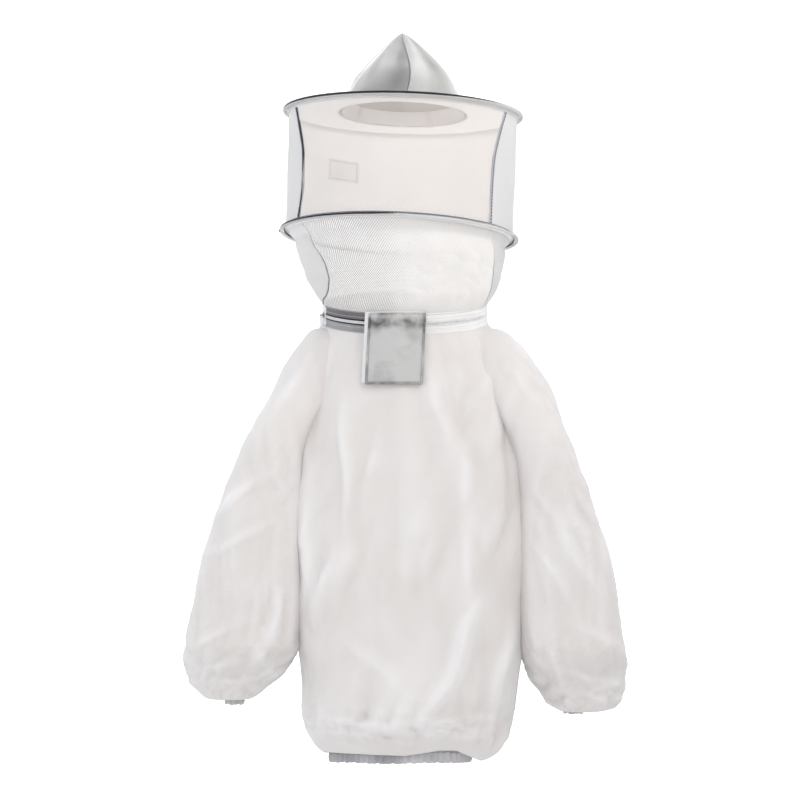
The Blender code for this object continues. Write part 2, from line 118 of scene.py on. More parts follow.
def smooth(values, at):
    """A monotone cubic through the rows of a table. values is (count, 1 + columns); column 0 is the key."""
    values = np.asarray(values, float)
    keys, table = values[:, 0], values[:, 1:]
    steps = np.diff(keys)[:, None]
    slopes = np.diff(table, axis=0) / steps
    tangents = np.zeros_like(table)
    same = slopes[:-1] * slopes[1:] > 0
    total = np.where(same, slopes[:-1] + slopes[1:], 1.0)
    tangents[1:-1] = np.where(same, 2 * slopes[:-1] * slopes[1:] / total, 0.0)
    tangents[0], tangents[-1] = slopes[0], slopes[-1]
    index = np.clip(np.searchsorted(keys, at) - 1, 0, len(keys) - 2)
    t = ((at - keys[index]) / np.diff(keys)[index])[:, None]
    h = np.diff(keys)[index][:, None]
    return ((2 * t**3 - 3 * t**2 + 1) * table[index] + (t**3 - 2 * t**2 + t) * h * tangents[index]
            + (3 * t**2 - 2 * t**3) * table[index + 1] + (t**3 - t**2) * h * tangents[index + 1])


def by_length(rows, count):
    """Rows of an outline, made even: count rows along the length that the outline's own numbers give."""
    rows = np.asarray(rows, float)
    key = np.concatenate([[0.0], np.cumsum(np.linalg.norm(np.diff(rows, axis=0), axis=1))])
    return smooth(np.column_stack([key, rows]), np.linspace(0, key[-1], count))


def field(points, scale, seed=0.0):
    """Smooth noise, about -1 to 1, at each point."""
    flat = points.reshape(-1, 3)
    out = np.array([noise.noise(Vector(p) * scale + Vector((seed, seed * 2.3, -seed))) for p in flat])
    return out.reshape(points.shape[:-1])


def smoothstep(low, high, x):
    t = np.clip((x - low) / (high - low), 0, 1)
    return t * t * (3 - 2 * t)


def points_at(x, y, z):
    """Points from their coordinates, which may be of different shapes."""
    return np.stack(np.broadcast_arrays(x, y, z), axis=-1)


def circle(radius, turn, z):
    """Points, or directions, round the upright axis."""
    return points_at(radius * np.cos(turn), radius * np.sin(turn), z)


def neck_point(out, angle, height):
    """Points on the tilted neck circle; out is measured from the line of the zip's teeth."""
    turn = np.radians(angle)
    radius = NECK_R + out
    x, y = radius * np.cos(turn), radius * np.sin(turn)
    c, s = math.cos(NECK_TILT), math.sin(NECK_TILT)
    return points_at(x, y * c - height * s, NECK_CENTRE[2] + y * s + height * c)


def neck_axes(angle):
    """A point on the line of the zip's teeth, with the directions along the zip, up and out from it."""
    origin = neck_point(0.0, np.array([angle]), 0.0)[0]
    out = neck_point(0.01, np.array([angle]), 0.0)[0] - origin
    out /= np.linalg.norm(out)
    up = neck_point(0.0, np.array([angle]), 0.01)[0] - origin
    up /= np.linalg.norm(up)
    return origin, np.cross(up, out), up, out


def lean(points):
    """The worn hat: a little lower on the wearer's left, tipped back, with its lower hoop to one side."""
    z = points[..., 2].copy()
    keys = (0.76, LOWER_Z, UPPER_Z, CROWN_HIGH.z)
    side = np.interp(z, keys, LEAN_SIDE)
    back = np.interp(z, keys, LEAN_BACK)
    rise = np.interp(z, keys, (0.0, -0.0060, -0.0062, 0.0015))
    slide = np.interp(z, keys, (0.0, -0.0095, -0.0030, -0.0035))
    spread = np.interp(z, keys, (1.0, 1.014, 1.020, 1.0))
    points[..., 2] += rise - side * points[..., 0] - back * points[..., 1]
    points[..., 0] = points[..., 0] * spread + slide
    points[..., 1] *= spread
    return points


def mesh_piece(name, verts, faces):
    mesh = bpy.data.meshes.new(name)
    mesh.from_pydata([tuple(v) for v in verts], [], faces)
    obj = bpy.data.objects.new(name, mesh)
    bpy.context.scene.collection.objects.link(obj)
    return obj


def surface(name, points, closed_u=False, closed_v=False, caps=False):
    """A quad mesh over a grid of points, (rows, columns, 3), with a UV map "cloth" in metres."""
    rows, columns = points.shape[:2]
    span_u = columns if closed_u else columns - 1
    span_v = rows if closed_v else rows - 1
    index = np.arange(rows * columns).reshape(rows, columns)
    v, u = np.meshgrid(np.arange(span_v), np.arange(span_u), indexing="ij")
    u2, v2 = (u + 1) % columns, (v + 1) % rows
    quads = np.stack([index[v, u], index[v, u2], index[v2, u2], index[v2, u]], axis=-1).reshape(-1, 4)
    faces = [tuple(int(k) for k in quad) for quad in quads]
    if caps:
        faces.append(tuple(int(k) for k in index[:, 0]))
        faces.append(tuple(int(k) for k in index[::-1, -1]))
    obj = mesh_piece(name, points.reshape(-1, 3), faces)
    along_u = np.linalg.norm(np.roll(points, -1, axis=1) - points, axis=2).mean(axis=0)
    along_v = np.linalg.norm(np.roll(points, -1, axis=0) - points, axis=2).mean(axis=1)
    key_u = np.concatenate([[0.0], np.cumsum(along_u)])
    key_v = np.concatenate([[0.0], np.cumsum(along_v)])
    u, v = u.reshape(-1), v.reshape(-1)
    uv = np.stack([np.stack([key_u[a], key_v[b]], axis=-1)
                   for a, b in ((u, v), (u + 1, v), (u + 1, v + 1), (u, v + 1))], axis=1).reshape(-1, 2)
    if caps:
        uv = np.vstack([uv, np.zeros((2 * rows, 2))])
    obj.data.uv_layers.new(name="cloth").data.foreach_set("uv", uv.astype(np.float32).ravel())
    obj.data.shade_smooth()
    return obj


def sweep(name, place, section, start=0.0, end=360.0, steps=180):
    """A closed section, (out, height) pairs, carried round place(out, angle, height)."""
    full = end - start >= 360.0
    angles = np.linspace(start, end, steps, endpoint=not full)
    points = np.stack([place(out, angles, height) for out, height in section])
    return surface(name, points, closed_u=full, closed_v=True, caps=not full)


def around(radius, base_z):
    """A place for sweep: a level circle."""
    return lambda out, angle, height: circle(radius + out, np.radians(angle), base_z + height)


def round_section(out, height, radius, sides=8):
    turns = [-2 * math.pi * k / sides for k in range(sides)]
    return [(out + radius * math.cos(t), height + radius * math.sin(t)) for t in turns]


def strip_section(out_low, out_high, low, high, steps=6):
    """A flat strip's section with softly rounded edges."""
    half, middle = (out_high - out_low) / 2, (low + high) / 2
    centre = (out_low + out_high) / 2
    reach = (high - low) / 2 - half
    turns = np.linspace(0, math.pi, steps)
    right = [(math.cos(a) * half, math.sin(a) * half + reach) for a in turns]
    left = [(math.cos(a) * half, math.sin(a) * half - reach) for a in turns + math.pi]
    return [(centre + o, middle + h) for o, h in (right + left)][::-1]


def move(obj, change):
    """Replace a mesh's points by change(points)."""
    points = np.zeros(len(obj.data.vertices) * 3, np.float32)
    obj.data.vertices.foreach_get("co", points)
    points = change(points.reshape(-1, 3).astype(float))
    obj.data.vertices.foreach_set("co", points.astype(np.float32).ravel())
    obj.data.update()
    return obj


def thicken(obj, thickness, offset=-1.0):
    modifier = obj.modifiers.new("thickness", "SOLIDIFY")
    modifier.thickness = thickness
    modifier.offset = offset
    modifier.use_even_offset = True
    return obj


def fine(obj, levels=1):
    modifier = obj.modifiers.new("fine", "SUBSURF")
    modifier.levels = modifier.render_levels = levels
    return obj


def finish(obj, material, body, *nodes, slot=None):
    """Give a piece its material, the body that it rides on and the CAD nodes that it stands for."""
    obj.data.materials.clear()
    obj.data.materials.append(material)
    if obj.parent is None and body:
        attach(obj, body)
    if nodes:
        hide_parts(*nodes)
    return obj


def relief(obj, values):
    """Keep the height of the folds with the mesh, so that the cloth's tone can follow them: painted highlight
    on the tops, painted shade in the hollows. About -1 to 1.
    """
    layer = obj.data.attributes.new("relief", "FLOAT", "POINT")
    layer.data.foreach_set("value", np.clip(values, -1, 1).astype(np.float32).ravel())
    return obj


# ---------------------------------------------------------------- materials

COTTON = (0.800, 0.760, 0.737)
COOL_WHITE = (0.92, 0.915, 0.915)


class Nodes:
    """A material's node tree, with short ways to add to it."""

    def __init__(self, name):
        self.material = bpy.data.materials.new(name)
        self.material.use_nodes = True
        self.tree = self.material.node_tree
        self.shader = self.tree.nodes["Principled BSDF"]
        self.output = self.tree.nodes["Material Output"]

    def add(self, kind, **inputs):
        node = self.tree.nodes.new(kind)
        for key, value in inputs.items():
            if key in node.bl_rna.properties:
                setattr(node, key, value)
        return node

    def link(self, source, target):
        self.tree.links.new(source, target)

    def math(self, operation, a, b=0.0):
        node = self.add("ShaderNodeMath", operation=operation)
        for k, value in enumerate((a, b)):
            if isinstance(value, (int, float)):
                node.inputs[k].default_value = value
            else:
                self.link(value, node.inputs[k])
        return node.outputs[0]

    def cloth(self):
        """The cloth's own two directions, in metres."""
        uv = self.add("ShaderNodeUVMap", uv_map="cloth")
        split = self.add("ShaderNodeSeparateXYZ")
        self.link(uv.outputs[0], split.inputs[0])
        return split.outputs[0], split.outputs[1]

    def relief(self):
        return self.add("ShaderNodeAttribute", attribute_name="relief").outputs["Fac"]

    def noise(self, scale, detail=2.0, roughness=0.5):
        place = self.add("ShaderNodeTexCoord")
        node = self.add("ShaderNodeTexNoise")
        node.inputs["Scale"].default_value = scale
        node.inputs["Detail"].default_value = detail
        node.inputs["Roughness"].default_value = roughness
        self.link(place.outputs["Object"], node.inputs["Vector"])
        return node.outputs["Fac"]

    def ramp(self, factor, low, high, start=0.0, end=1.0):
        node = self.add("ShaderNodeValToRGB")
        node.color_ramp.elements[0].position = start
        node.color_ramp.elements[0].color = (*low, 1)
        node.color_ramp.elements[1].position = end
        node.color_ramp.elements[1].color = (*high, 1)
        self.link(factor, node.inputs[0])
        return node.outputs[0]

    def bump(self, height, distance, strength=1.0, after=None):
        node = self.add("ShaderNodeBump")
        node.inputs["Strength"].default_value = strength
        node.inputs["Distance"].default_value = distance
        self.link(height, node.inputs["Height"])
        if after is not None:
            self.link(after, node.inputs["Normal"])
        return node.outputs[0]

    def weave(self, pitch, twill=False):
        """Height of a plain or twill weave, 0 to 1."""
        u, v = self.cloth()
        turn = 2 * math.pi / pitch
        if twill:
            slope = self.math("ADD", self.math("MULTIPLY", u, turn), self.math("MULTIPLY", v, turn * 0.6))
            cross = self.math("SINE", self.math("MULTIPLY", v, turn * 1.7))
            wave = self.math("ADD", self.math("SINE", slope), self.math("MULTIPLY", cross, 0.35))
        else:
            wave = self.math("MULTIPLY", self.math("SINE", self.math("MULTIPLY", u, turn)),
                             self.math("SINE", self.math("MULTIPLY", v, turn)))
        return self.math("ADD", self.math("MULTIPLY", wave, 0.5), 0.5)


def shaded(colour, share):
    return tuple(min(c * share, 1.0) for c in colour)


def cotton(name, colour=COTTON, pitch=0.0011, sheen=0.30, dark=0.965, crumple=0.0, thin=0.0, folds=None):
    """Woven cotton: weave and slub in the bump, slow drifts of tone in the colour, light through thin cloth.
    folds is the tone of the folds' tops, a painted highlight there, while the hollows take painted shade down
    to the dark share."""
    n = Nodes(name)
    drift = n.noise(9.0, 3.0)
    low = shaded(colour, dark)
    if folds:
        # painted shade and highlight: the relief darkens the hollows and lights the fold tops
        drift = n.math("ADD", n.math("MULTIPLY", drift, 0.5), n.math("MULTIPLY", n.relief(), 0.42))
        tone = n.ramp(drift, low, folds, 0.0, 0.62)
    else:
        tone = n.ramp(drift, low, colour, 0.35, 0.65)
    n.link(tone, n.shader.inputs["Base Color"])
    normal = n.bump(n.noise(420.0, 2.0), 0.00012, 0.5)
    if crumple:
        normal = n.bump(n.noise(75.0, 4.0, 0.6), crumple, 0.8, normal)
    normal = n.bump(n.weave(pitch), 0.00016, 0.45, normal)
    n.link(normal, n.shader.inputs["Normal"])
    n.shader.inputs["Roughness"].default_value = 0.88
    n.shader.inputs["Sheen Weight"].default_value = sheen
    n.shader.inputs["Sheen Roughness"].default_value = 0.4
    n.shader.inputs["Sheen Tint"].default_value = (0.72, 0.85, 1.0, 1)
    if thin:
        through = n.add("ShaderNodeBsdfTranslucent")
        n.link(tone, through.inputs["Color"])
        mix = n.add("ShaderNodeMixShader")
        mix.inputs[0].default_value = thin
        n.link(n.shader.outputs[0], mix.inputs[1])
        n.link(through.outputs[0], mix.inputs[2])
        n.link(mix.outputs[0], n.output.inputs["Surface"])
    return n.material


def satin(name, colour, roughness, patch=None):
    """Silver-grey satin: fine diagonal weave, soft creases, a gentle gloss. patch is a width and height: the
    tone then takes painted shade in a band under the top and along the stitched edges, mottled like crushed
    satin there."""
    n = Nodes(name)
    drift = n.noise(22.0, 3.0, 0.5)
    if patch:
        across, up = n.cloth()
        wide, tall = patch
        drift = n.math("ADD", n.math("MULTIPLY", drift, 1.5), 0.10)
        # painted shade in a band under the flap's top, mottled
        from_band = n.math("DIVIDE", n.math("SUBTRACT", n.math("DIVIDE", up, tall), 0.86), 0.085)
        band = n.math("DIVIDE", 1.0, n.math("ADD", 1.0, n.math("POWER", n.math("ABSOLUTE", from_band), 3.0)))
        mottle = n.math("ADD", n.math("MULTIPLY", n.noise(75.0, 3.0), 1.6), -0.15)
        drift = n.math("SUBTRACT", drift, n.math("MULTIPLY", n.math("MULTIPLY", band, mottle), 0.85))
        # painted shade along the stitched edges
        inner = n.math("MINIMUM", n.math("MINIMUM", across, n.math("SUBTRACT", wide, across)),
                       n.math("MINIMUM", up, n.math("SUBTRACT", tall, up)))
        rim = n.math("SUBTRACT", 1.0, n.math("MINIMUM", n.math("DIVIDE", inner, 0.0060), 1.0))
        drift = n.math("SUBTRACT", drift, n.math("MULTIPLY", n.math("MULTIPLY", rim, mottle), 0.70))
        darkest, lightest, start, end = 0.22, 1.22, 0.02, 0.82
    else:
        # painted shade in the gores' dents and painted highlight on their bulges, from the relief
        folds = n.math("ADD", n.math("MULTIPLY", n.relief(), 0.35), 0.2)
        drift = n.math("ADD", n.math("MULTIPLY", drift, 0.6), folds)
        darkest, lightest, start, end = 0.60, 1.30, 0.12, 0.88
    n.link(n.ramp(drift, shaded(colour, darkest), shaded(colour, lightest), start, end),
           n.shader.inputs["Base Color"])
    normal = n.bump(n.noise(48.0, 3.0, 0.55), 0.0012, 0.6)
    normal = n.bump(n.weave(0.0008, True), 0.00010, 0.5, normal)
    n.link(normal, n.shader.inputs["Normal"])
    n.shader.inputs["Roughness"].default_value = roughness
    n.shader.inputs["Sheen Weight"].default_value = 0.3
    return n.material


def plain(name, colour, roughness=0.6, metallic=0.0):
    """Moulded plastic, thread or metal, with a fine grain and worn tone."""
    n = Nodes(name)
    tone = n.ramp(n.noise(130.0, 3.0), shaded(colour, 0.86), colour, 0.35, 0.6)
    n.link(tone, n.shader.inputs["Base Color"])
    n.link(n.bump(n.noise(900.0, 2.0), 0.00006, 0.6), n.shader.inputs["Normal"])
    n.shader.inputs["Roughness"].default_value = roughness
    n.shader.inputs["Metallic"].default_value = metallic
    return n.material


def net(name, colour, pitch, thread, veil=0.0, fade=0.0):
    """Knitted net: diagonal threads with clear diamonds between. veil is how milky the diamonds are; fade
    paints light and shade across the net: the diamonds milkier towards +X, a painted lightening where the
    light falls, and greyer towards -X, painted shade of the dim inside seen through them."""
    n = Nodes(name)
    u, v = n.cloth()
    threads = []
    for sign in (1.0, -1.0):
        slope = n.math("ADD", u, n.math("MULTIPLY", v, sign))
        cell = n.math("PINGPONG", n.math("ADD", n.math("DIVIDE", slope, pitch), 500.0), 0.5)
        threads.append(n.math("LESS_THAN", cell, thread / pitch / 2))
    solid = n.math("MAXIMUM", threads[0], threads[1])
    tone = n.ramp(n.noise(30.0), shaded(colour, 0.94), colour, 0.3, 0.7)
    if fade:
        place = n.add("ShaderNodeTexCoord")
        split = n.add("ShaderNodeSeparateXYZ")
        n.link(place.outputs["Object"], split.inputs[0])
        across = n.math("ADD", n.math("MULTIPLY", split.outputs[0], 9.0), 0.90)
        across = n.math("ADD", across, n.math("MULTIPLY", n.math("SUBTRACT", n.noise(11.0), 0.5), 0.7))
        across = n.math("MINIMUM", n.math("MAXIMUM", across, 0.0), 1.0)
        veil = n.math("ADD", n.math("MULTIPLY", across, fade), veil)
        # painted shade: the diamonds greyer than the threads towards -X, where the inside behind the net lies
        # in shade
        holes = n.math("MULTIPLY", n.math("SUBTRACT", 1.0, solid), n.math("SUBTRACT", 1.0, across))
        shade = n.add("ShaderNodeVectorMath", operation="SCALE")
        n.link(tone, shade.inputs[0])
        n.link(n.math("SUBTRACT", 1.0, n.math("MULTIPLY", holes, 0.42)), shade.inputs["Scale"])
        tone = shade.outputs[0]
    cover = n.math("MAXIMUM", solid, veil)
    n.link(tone, n.shader.inputs["Base Color"])
    n.shader.inputs["Roughness"].default_value = 0.7
    clear = n.add("ShaderNodeBsdfTransparent")
    mix = n.add("ShaderNodeMixShader")
    n.link(cover, mix.inputs[0])
    n.link(clear.outputs[0], mix.inputs[1])
    n.link(n.shader.outputs[0], mix.inputs[2])
    n.link(mix.outputs[0], n.output.inputs["Surface"])
    return n.material


MAT = {
    # jacket and sleeve cotton: painted shade in the folds' hollows and painted highlight on their tops, from
    # the relief
    "cotton": cotton("jacket_cotton", crumple=0.0005, dark=0.90, folds=(0.845, 0.825, 0.82)),
    "sleeve": cotton("sleeve_cotton", crumple=0.0007, dark=0.90, folds=(0.845, 0.825, 0.82)),
    "veil_cotton": cotton("veil_cotton", COOL_WHITE, pitch=0.0008, thin=0.45),
    "brim": cotton("brim_cotton", (0.97, 0.965, 0.955), pitch=0.0009, thin=0.66),
    "band": cotton("band_cotton", (0.95, 0.95, 0.945), pitch=0.0014, dark=0.9),
    "binding": cotton("binding_tape", (0.90, 0.89, 0.88), pitch=0.0012, dark=0.92),
    # hem and cuff bands are grey, not white: painted shade for the gathered bands' undersides and insides,
    # seen from below
    "hem": cotton("hem_cotton", (0.62, 0.61, 0.635), pitch=0.0010, dark=0.5, crumple=0.0006),
    "cuff": cotton("cuff_cotton", (0.62, 0.62, 0.63), pitch=0.0010, dark=0.7, crumple=0.0005),
    "elastic": cotton("ribbed_elastic", (0.80, 0.80, 0.79), pitch=0.0020),
    "piping_dark": cotton("piping_dark", (0.022, 0.022, 0.026), pitch=0.0008, sheen=0.3, dark=0.6),
    "piping_light": cotton("piping_light", (0.60, 0.61, 0.63), pitch=0.0008, dark=0.8),
    "crown": satin("crown_satin", (0.45, 0.45, 0.445), 0.34),
    "crown_shaded": satin("crown_satin_shaded", (0.325, 0.325, 0.33), 0.30),
    "flap": satin("flap_satin", (0.445, 0.445, 0.44), 0.42, patch=(0.091, 0.113)),
    "lining": cotton("flap_lining", (0.78, 0.78, 0.78), pitch=0.0010),
    "seam_dark": cotton("seam_dark", (0.055, 0.062, 0.085), pitch=0.0009, dark=0.5),
    "seam_light": cotton("seam_light", (0.50, 0.52, 0.57), pitch=0.0009, dark=0.8),
    "seam_grey": cotton("seam_grey", (0.36, 0.36, 0.37), pitch=0.0009, dark=0.5),
    # tape_dark, tape and cord_dark: grey to near-black tones for the zip's part beside the flap, painted
    # shade
    "tape_dark": cotton("zip_tape_dark", (0.22, 0.20, 0.21), pitch=0.0011, dark=0.6),
    "tape": cotton("zip_tape", (0.42, 0.41, 0.425), pitch=0.0011, dark=0.6),
    "tape_light": cotton("zip_tape_light", (0.93, 0.92, 0.91), pitch=0.0011, dark=0.93),
    "cord_dark": cotton("zip_cord_dark", (0.018, 0.018, 0.022), pitch=0.0008, dark=0.6),
    "cord_light": cotton("zip_cord_light", (0.86, 0.86, 0.86), pitch=0.0008, dark=0.8),
    "teeth": plain("zip_teeth", (0.86, 0.86, 0.87), 0.35),
    "metal": plain("zip_metal", (0.30, 0.33, 0.31), 0.28, 1.0),
    "pull": plain("pull_enamel", (0.95, 0.95, 0.95), 0.3),
    "thread": plain("thread_white", (0.78, 0.78, 0.78), 0.6),
    "thread_dark": plain("thread_dark", (0.10, 0.10, 0.12), 0.6),
    "label": cotton("blank_label", (0.97, 0.96, 0.96), pitch=0.0006, dark=0.97, thin=0.85),
    "hooks": cotton("hook_tape", (0.55, 0.55, 0.55), pitch=0.0016, dark=0.8, crumple=0.0008),
    # the window net is darker and warmer than the white veil: painted shade of the dim inside seen through it
    "window": net("window_net", (0.82, 0.75, 0.71), 0.0026, 0.0005, 0.30),
    # the lower net's fade paints light towards +X and shade towards -X
    "lower_net": net("lower_net", (0.88, 0.86, 0.845), 0.0039, 0.0013, 0.40, 0.42),
}

# ---------------------------------------------------------------- stitching


def stitches(name, path, normals, material, body, pitch=0.0032, length=0.0023, radius=0.00035, spans=False):
    """A row of small thread stitches lying on a path. path and normals are (count, 3)."""
    steps = np.linalg.norm(np.diff(path, axis=0), axis=1)
    key = np.concatenate([[0.0], np.cumsum(steps)])

    def at(s, values):
        return np.stack([np.interp(s, key, values[:, k]) for k in range(3)], axis=-1)

    verts, faces = [], []
    profile = ((0.0, 0.35), (0.25, 1.0), (0.75, 1.0), (1.0, 0.35))
    for start in np.arange(pitch / 2, key[-1] - length, pitch):
        base = len(verts)
        centre, ahead = at(start, path), at(start + length, path)
        along = (ahead - centre) / max(np.linalg.norm(ahead - centre), 1e-9)
        up = at(start, normals)
        up = up / np.linalg.norm(up)
        side = np.cross(along, up)
        for share, fat in profile:
            p = centre + (ahead - centre) * share
            for a, b in ((-1, 0), (0, 1), (1, 0), (0, -0.6)):
                verts.append(p + side * (a * radius * fat) + up * (b * radius * fat))
        for ring in range(3):
            for k in range(4):
                a, b = base + ring * 4 + k, base + ring * 4 + (k + 1) % 4
                faces.append((a, b, b + 4, a + 4))
        faces.append((base + 3, base + 2, base + 1, base))
        faces.append((base + 12, base + 13, base + 14, base + 15))
    obj = mesh_piece(name, verts, faces)
    obj.data.shade_smooth()
    finish(obj, material, None if spans else body)
    if spans:
        span_veil(obj)
    return obj


def span_veil(obj):
    """The upright veil runs from the lower hoop to the hat; this bakes a piece's placing into its mesh."""
    low = lean(np.array([0.0, 0.0, VEIL_LOW.z]))
    high = lean(np.array([0.0, 0.0, VEIL_HIGH.z]))
    up = np.array([LEAN_SIDE[1], LEAN_BACK[1], 1.0])
    up /= np.linalg.norm(up)
    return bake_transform(obj)


# ---------------------------------------------------------------- folds


def creased(points, scale, seed, soft=0.05):
    """Crumpled cloth: smooth hills that meet in creases. About -0.25 to 0.6."""
    value = field(points * scale, 1.0, seed)
    return np.sqrt(value * value + soft * soft) - 0.27


def slanted(points, squeeze, slant):
    """The points with their height squeezed and slanted, so that folds drawn over them run aslant."""
    out = points.copy()
    out[..., 2] = points[..., 2] * squeeze + slant
    return out


def squarish(turn, full):
    """The two coordinates of a unit outline: full is 2 for a circle and more for squarer rows."""
    return (np.sign(np.cos(turn)) * np.abs(np.cos(turn)) ** (2 / full),
            np.sign(np.sin(turn)) * np.abs(np.sin(turn)) ** (2 / full))


def outward(turn, z):
    """Level directions outwards, for every row and column."""
    return points_at(np.cos(turn) + 0 * z, np.sin(turn) + 0 * z, 0.0)


def at_sides(turn):
    """Folds are half as deep at the outline's two sides."""
    return 1 - 0.5 * np.abs(np.cos(turn)) ** 6


def ridges(x, z, rows):
    """Single folds: each row is x, z at one end, x, z at the other, width and height, all in metres."""
    total = np.zeros(np.broadcast(x, z).shape)
    for x0, z0, x1, z1, width, height in rows:
        dx, dz = x1 - x0, z1 - z0
        length = math.hypot(dx, dz)
        along = ((x - x0) * dx + (z - z0) * dz) / length
        across = ((x - x0) * dz - (z - z0) * dx) / length
        across = across + 0.35 * width * np.sin(along * 40 + x0 * 90)
        share = np.clip(along / length, 0, 1)
        beyond = along - share * length
        taper = np.sin(np.pi * np.clip(0.12 + 0.76 * share, 0, 1)) * np.exp(-(beyond / 0.03) ** 2)
        steep = np.where(across > 0, width * 0.7, width)
        total += height * taper * np.exp(-(across / steep) ** 2)
    return total


# ---------------------------------------------------------------- jacket body

# height, half-width on the left and on the right of the front view, half-depth, share of the neck's
# tilt, and the centre's place front to back
BODY = (
    (0.0080, 0.1125, 0.0985, 0.0875, 0.0, 0.0),
    (0.0190, 0.1125, 0.0990, 0.0875, 0.0, 0.0),
    (0.0222, 0.1180, 0.1045, 0.0930, 0.0, 0.0),
    (0.0205, 0.1245, 0.1130, 0.0995, 0.0, 0.0),
    (0.0150, 0.1262, 0.1190, 0.1012, 0.0, 0.0),
    (0.0152, 0.1290, 0.1250, 0.1040, 0.0, 0.0),
    (0.0200, 0.1370, 0.1390, 0.1095, 0.0, 0.0),
    (0.0340, 0.1490, 0.1560, 0.1220, 0.0, 0.0),
    (0.0600, 0.1600, 0.1680, 0.1350, 0.0, 0.0),
    (0.0950, 0.1650, 0.1750, 0.1430, 0.0, 0.0),
    (0.1300, 0.1630, 0.1800, 0.1470, 0.0, 0.0),
    (0.1800, 0.1690, 0.1880, 0.1515, 0.0, 0.0),
    (0.2300, 0.1750, 0.1930, 0.1530, 0.0, 0.0),
    (0.3000, 0.1770, 0.1960, 0.1540, 0.0, 0.0),
    (0.4000, 0.1780, 0.1980, 0.1530, 0.0, 0.0),
    (0.4800, 0.1780, 0.1960, 0.1495, 0.0, 0.0),
    (0.5600, 0.1760, 0.1890, 0.1440, 0.0, 0.0),
    (0.6300, 0.1690, 0.1740, 0.1385, 0.2, 0.0),
    (0.6750, 0.1560, 0.1570, 0.1350, 0.7, 0.001),
    (0.7119, 0.1336, 0.1336, 0.1302, 1.0, 0.0037),
)
# height and how square the section is
BODY_FULLNESS = ((0.0, 2.05), (0.06, 2.3), (0.12, 3.0), (0.20, 3.4), (0.42, 3.3), (0.52, 2.6), (0.60, 2.1),
                 (0.66, 1.85), (0.712, 2.0))
SLEEVE_FULLNESS = ((0.08, 2.1), (0.16, 2.4), (0.26, 3.3), (0.45, 3.4), (0.55, 2.8), (0.66, 2.4), (0.71, 2.2))
SLEEVE_AHEAD = -0.056                      # the sleeves hang a little forward, over the body's sides
BODY_ROWS, BODY_COLUMNS = 250, 360
# across the front, how far the hem is drawn up (or hangs down)
HEM_DIP = ((-0.12, -0.05, 0.0, 0.03, 0.055, 0.08, 0.095, 0.12, 0.15),
           (0.003, 0.001, 0.0, 0.004, 0.0075, 0.007, 0.0, -0.011, -0.011))
# single folds on the front: ends, width and height
BODY_FOLDS = (
    (-0.159, 0.566, -0.159, 0.232, 0.012, 0.0060), (-0.097, 0.560, -0.092, 0.382, 0.010, 0.0045),
    (-0.125, 0.683, -0.133, 0.617, 0.008, 0.0040), (0.086, 0.494, 0.100, 0.410, 0.012, 0.0055),
    (0.090, 0.372, 0.100, 0.288, 0.011, 0.0050), (0.109, 0.251, 0.043, 0.090, 0.016, 0.0100),
    (0.160, 0.213, 0.137, 0.099, 0.013, 0.0070), (0.175, 0.570, 0.184, 0.456, 0.010, 0.0050),
    (0.001, 0.363, -0.003, 0.297, 0.009, 0.0035), (-0.050, 0.508, -0.059, 0.456, 0.009, 0.0035),
    (0.140, 0.660, 0.114, 0.583, 0.012, 0.0025), (0.039, 0.614, 0.078, 0.474, 0.014, 0.0030),
    (-0.117, 0.333, -0.136, 0.271, 0.010, 0.0040), (-0.086, 0.208, -0.008, 0.130, 0.014, 0.0030),
    (-0.109, 0.074, -0.008, 0.058, 0.007, 0.0040), (-0.008, 0.071, 0.101, 0.058, 0.007, 0.0045),
    (-0.130, 0.052, -0.060, 0.046, 0.005, 0.0030), (0.020, 0.050, 0.080, 0.044, 0.005, 0.0030),
)


def hem_lift(x, y):
    """The hem rides higher at the front than at the back."""
    return 0.0105 * np.clip(0.5 - 0.5 * y / 0.093, 0, 1) + 0 * x


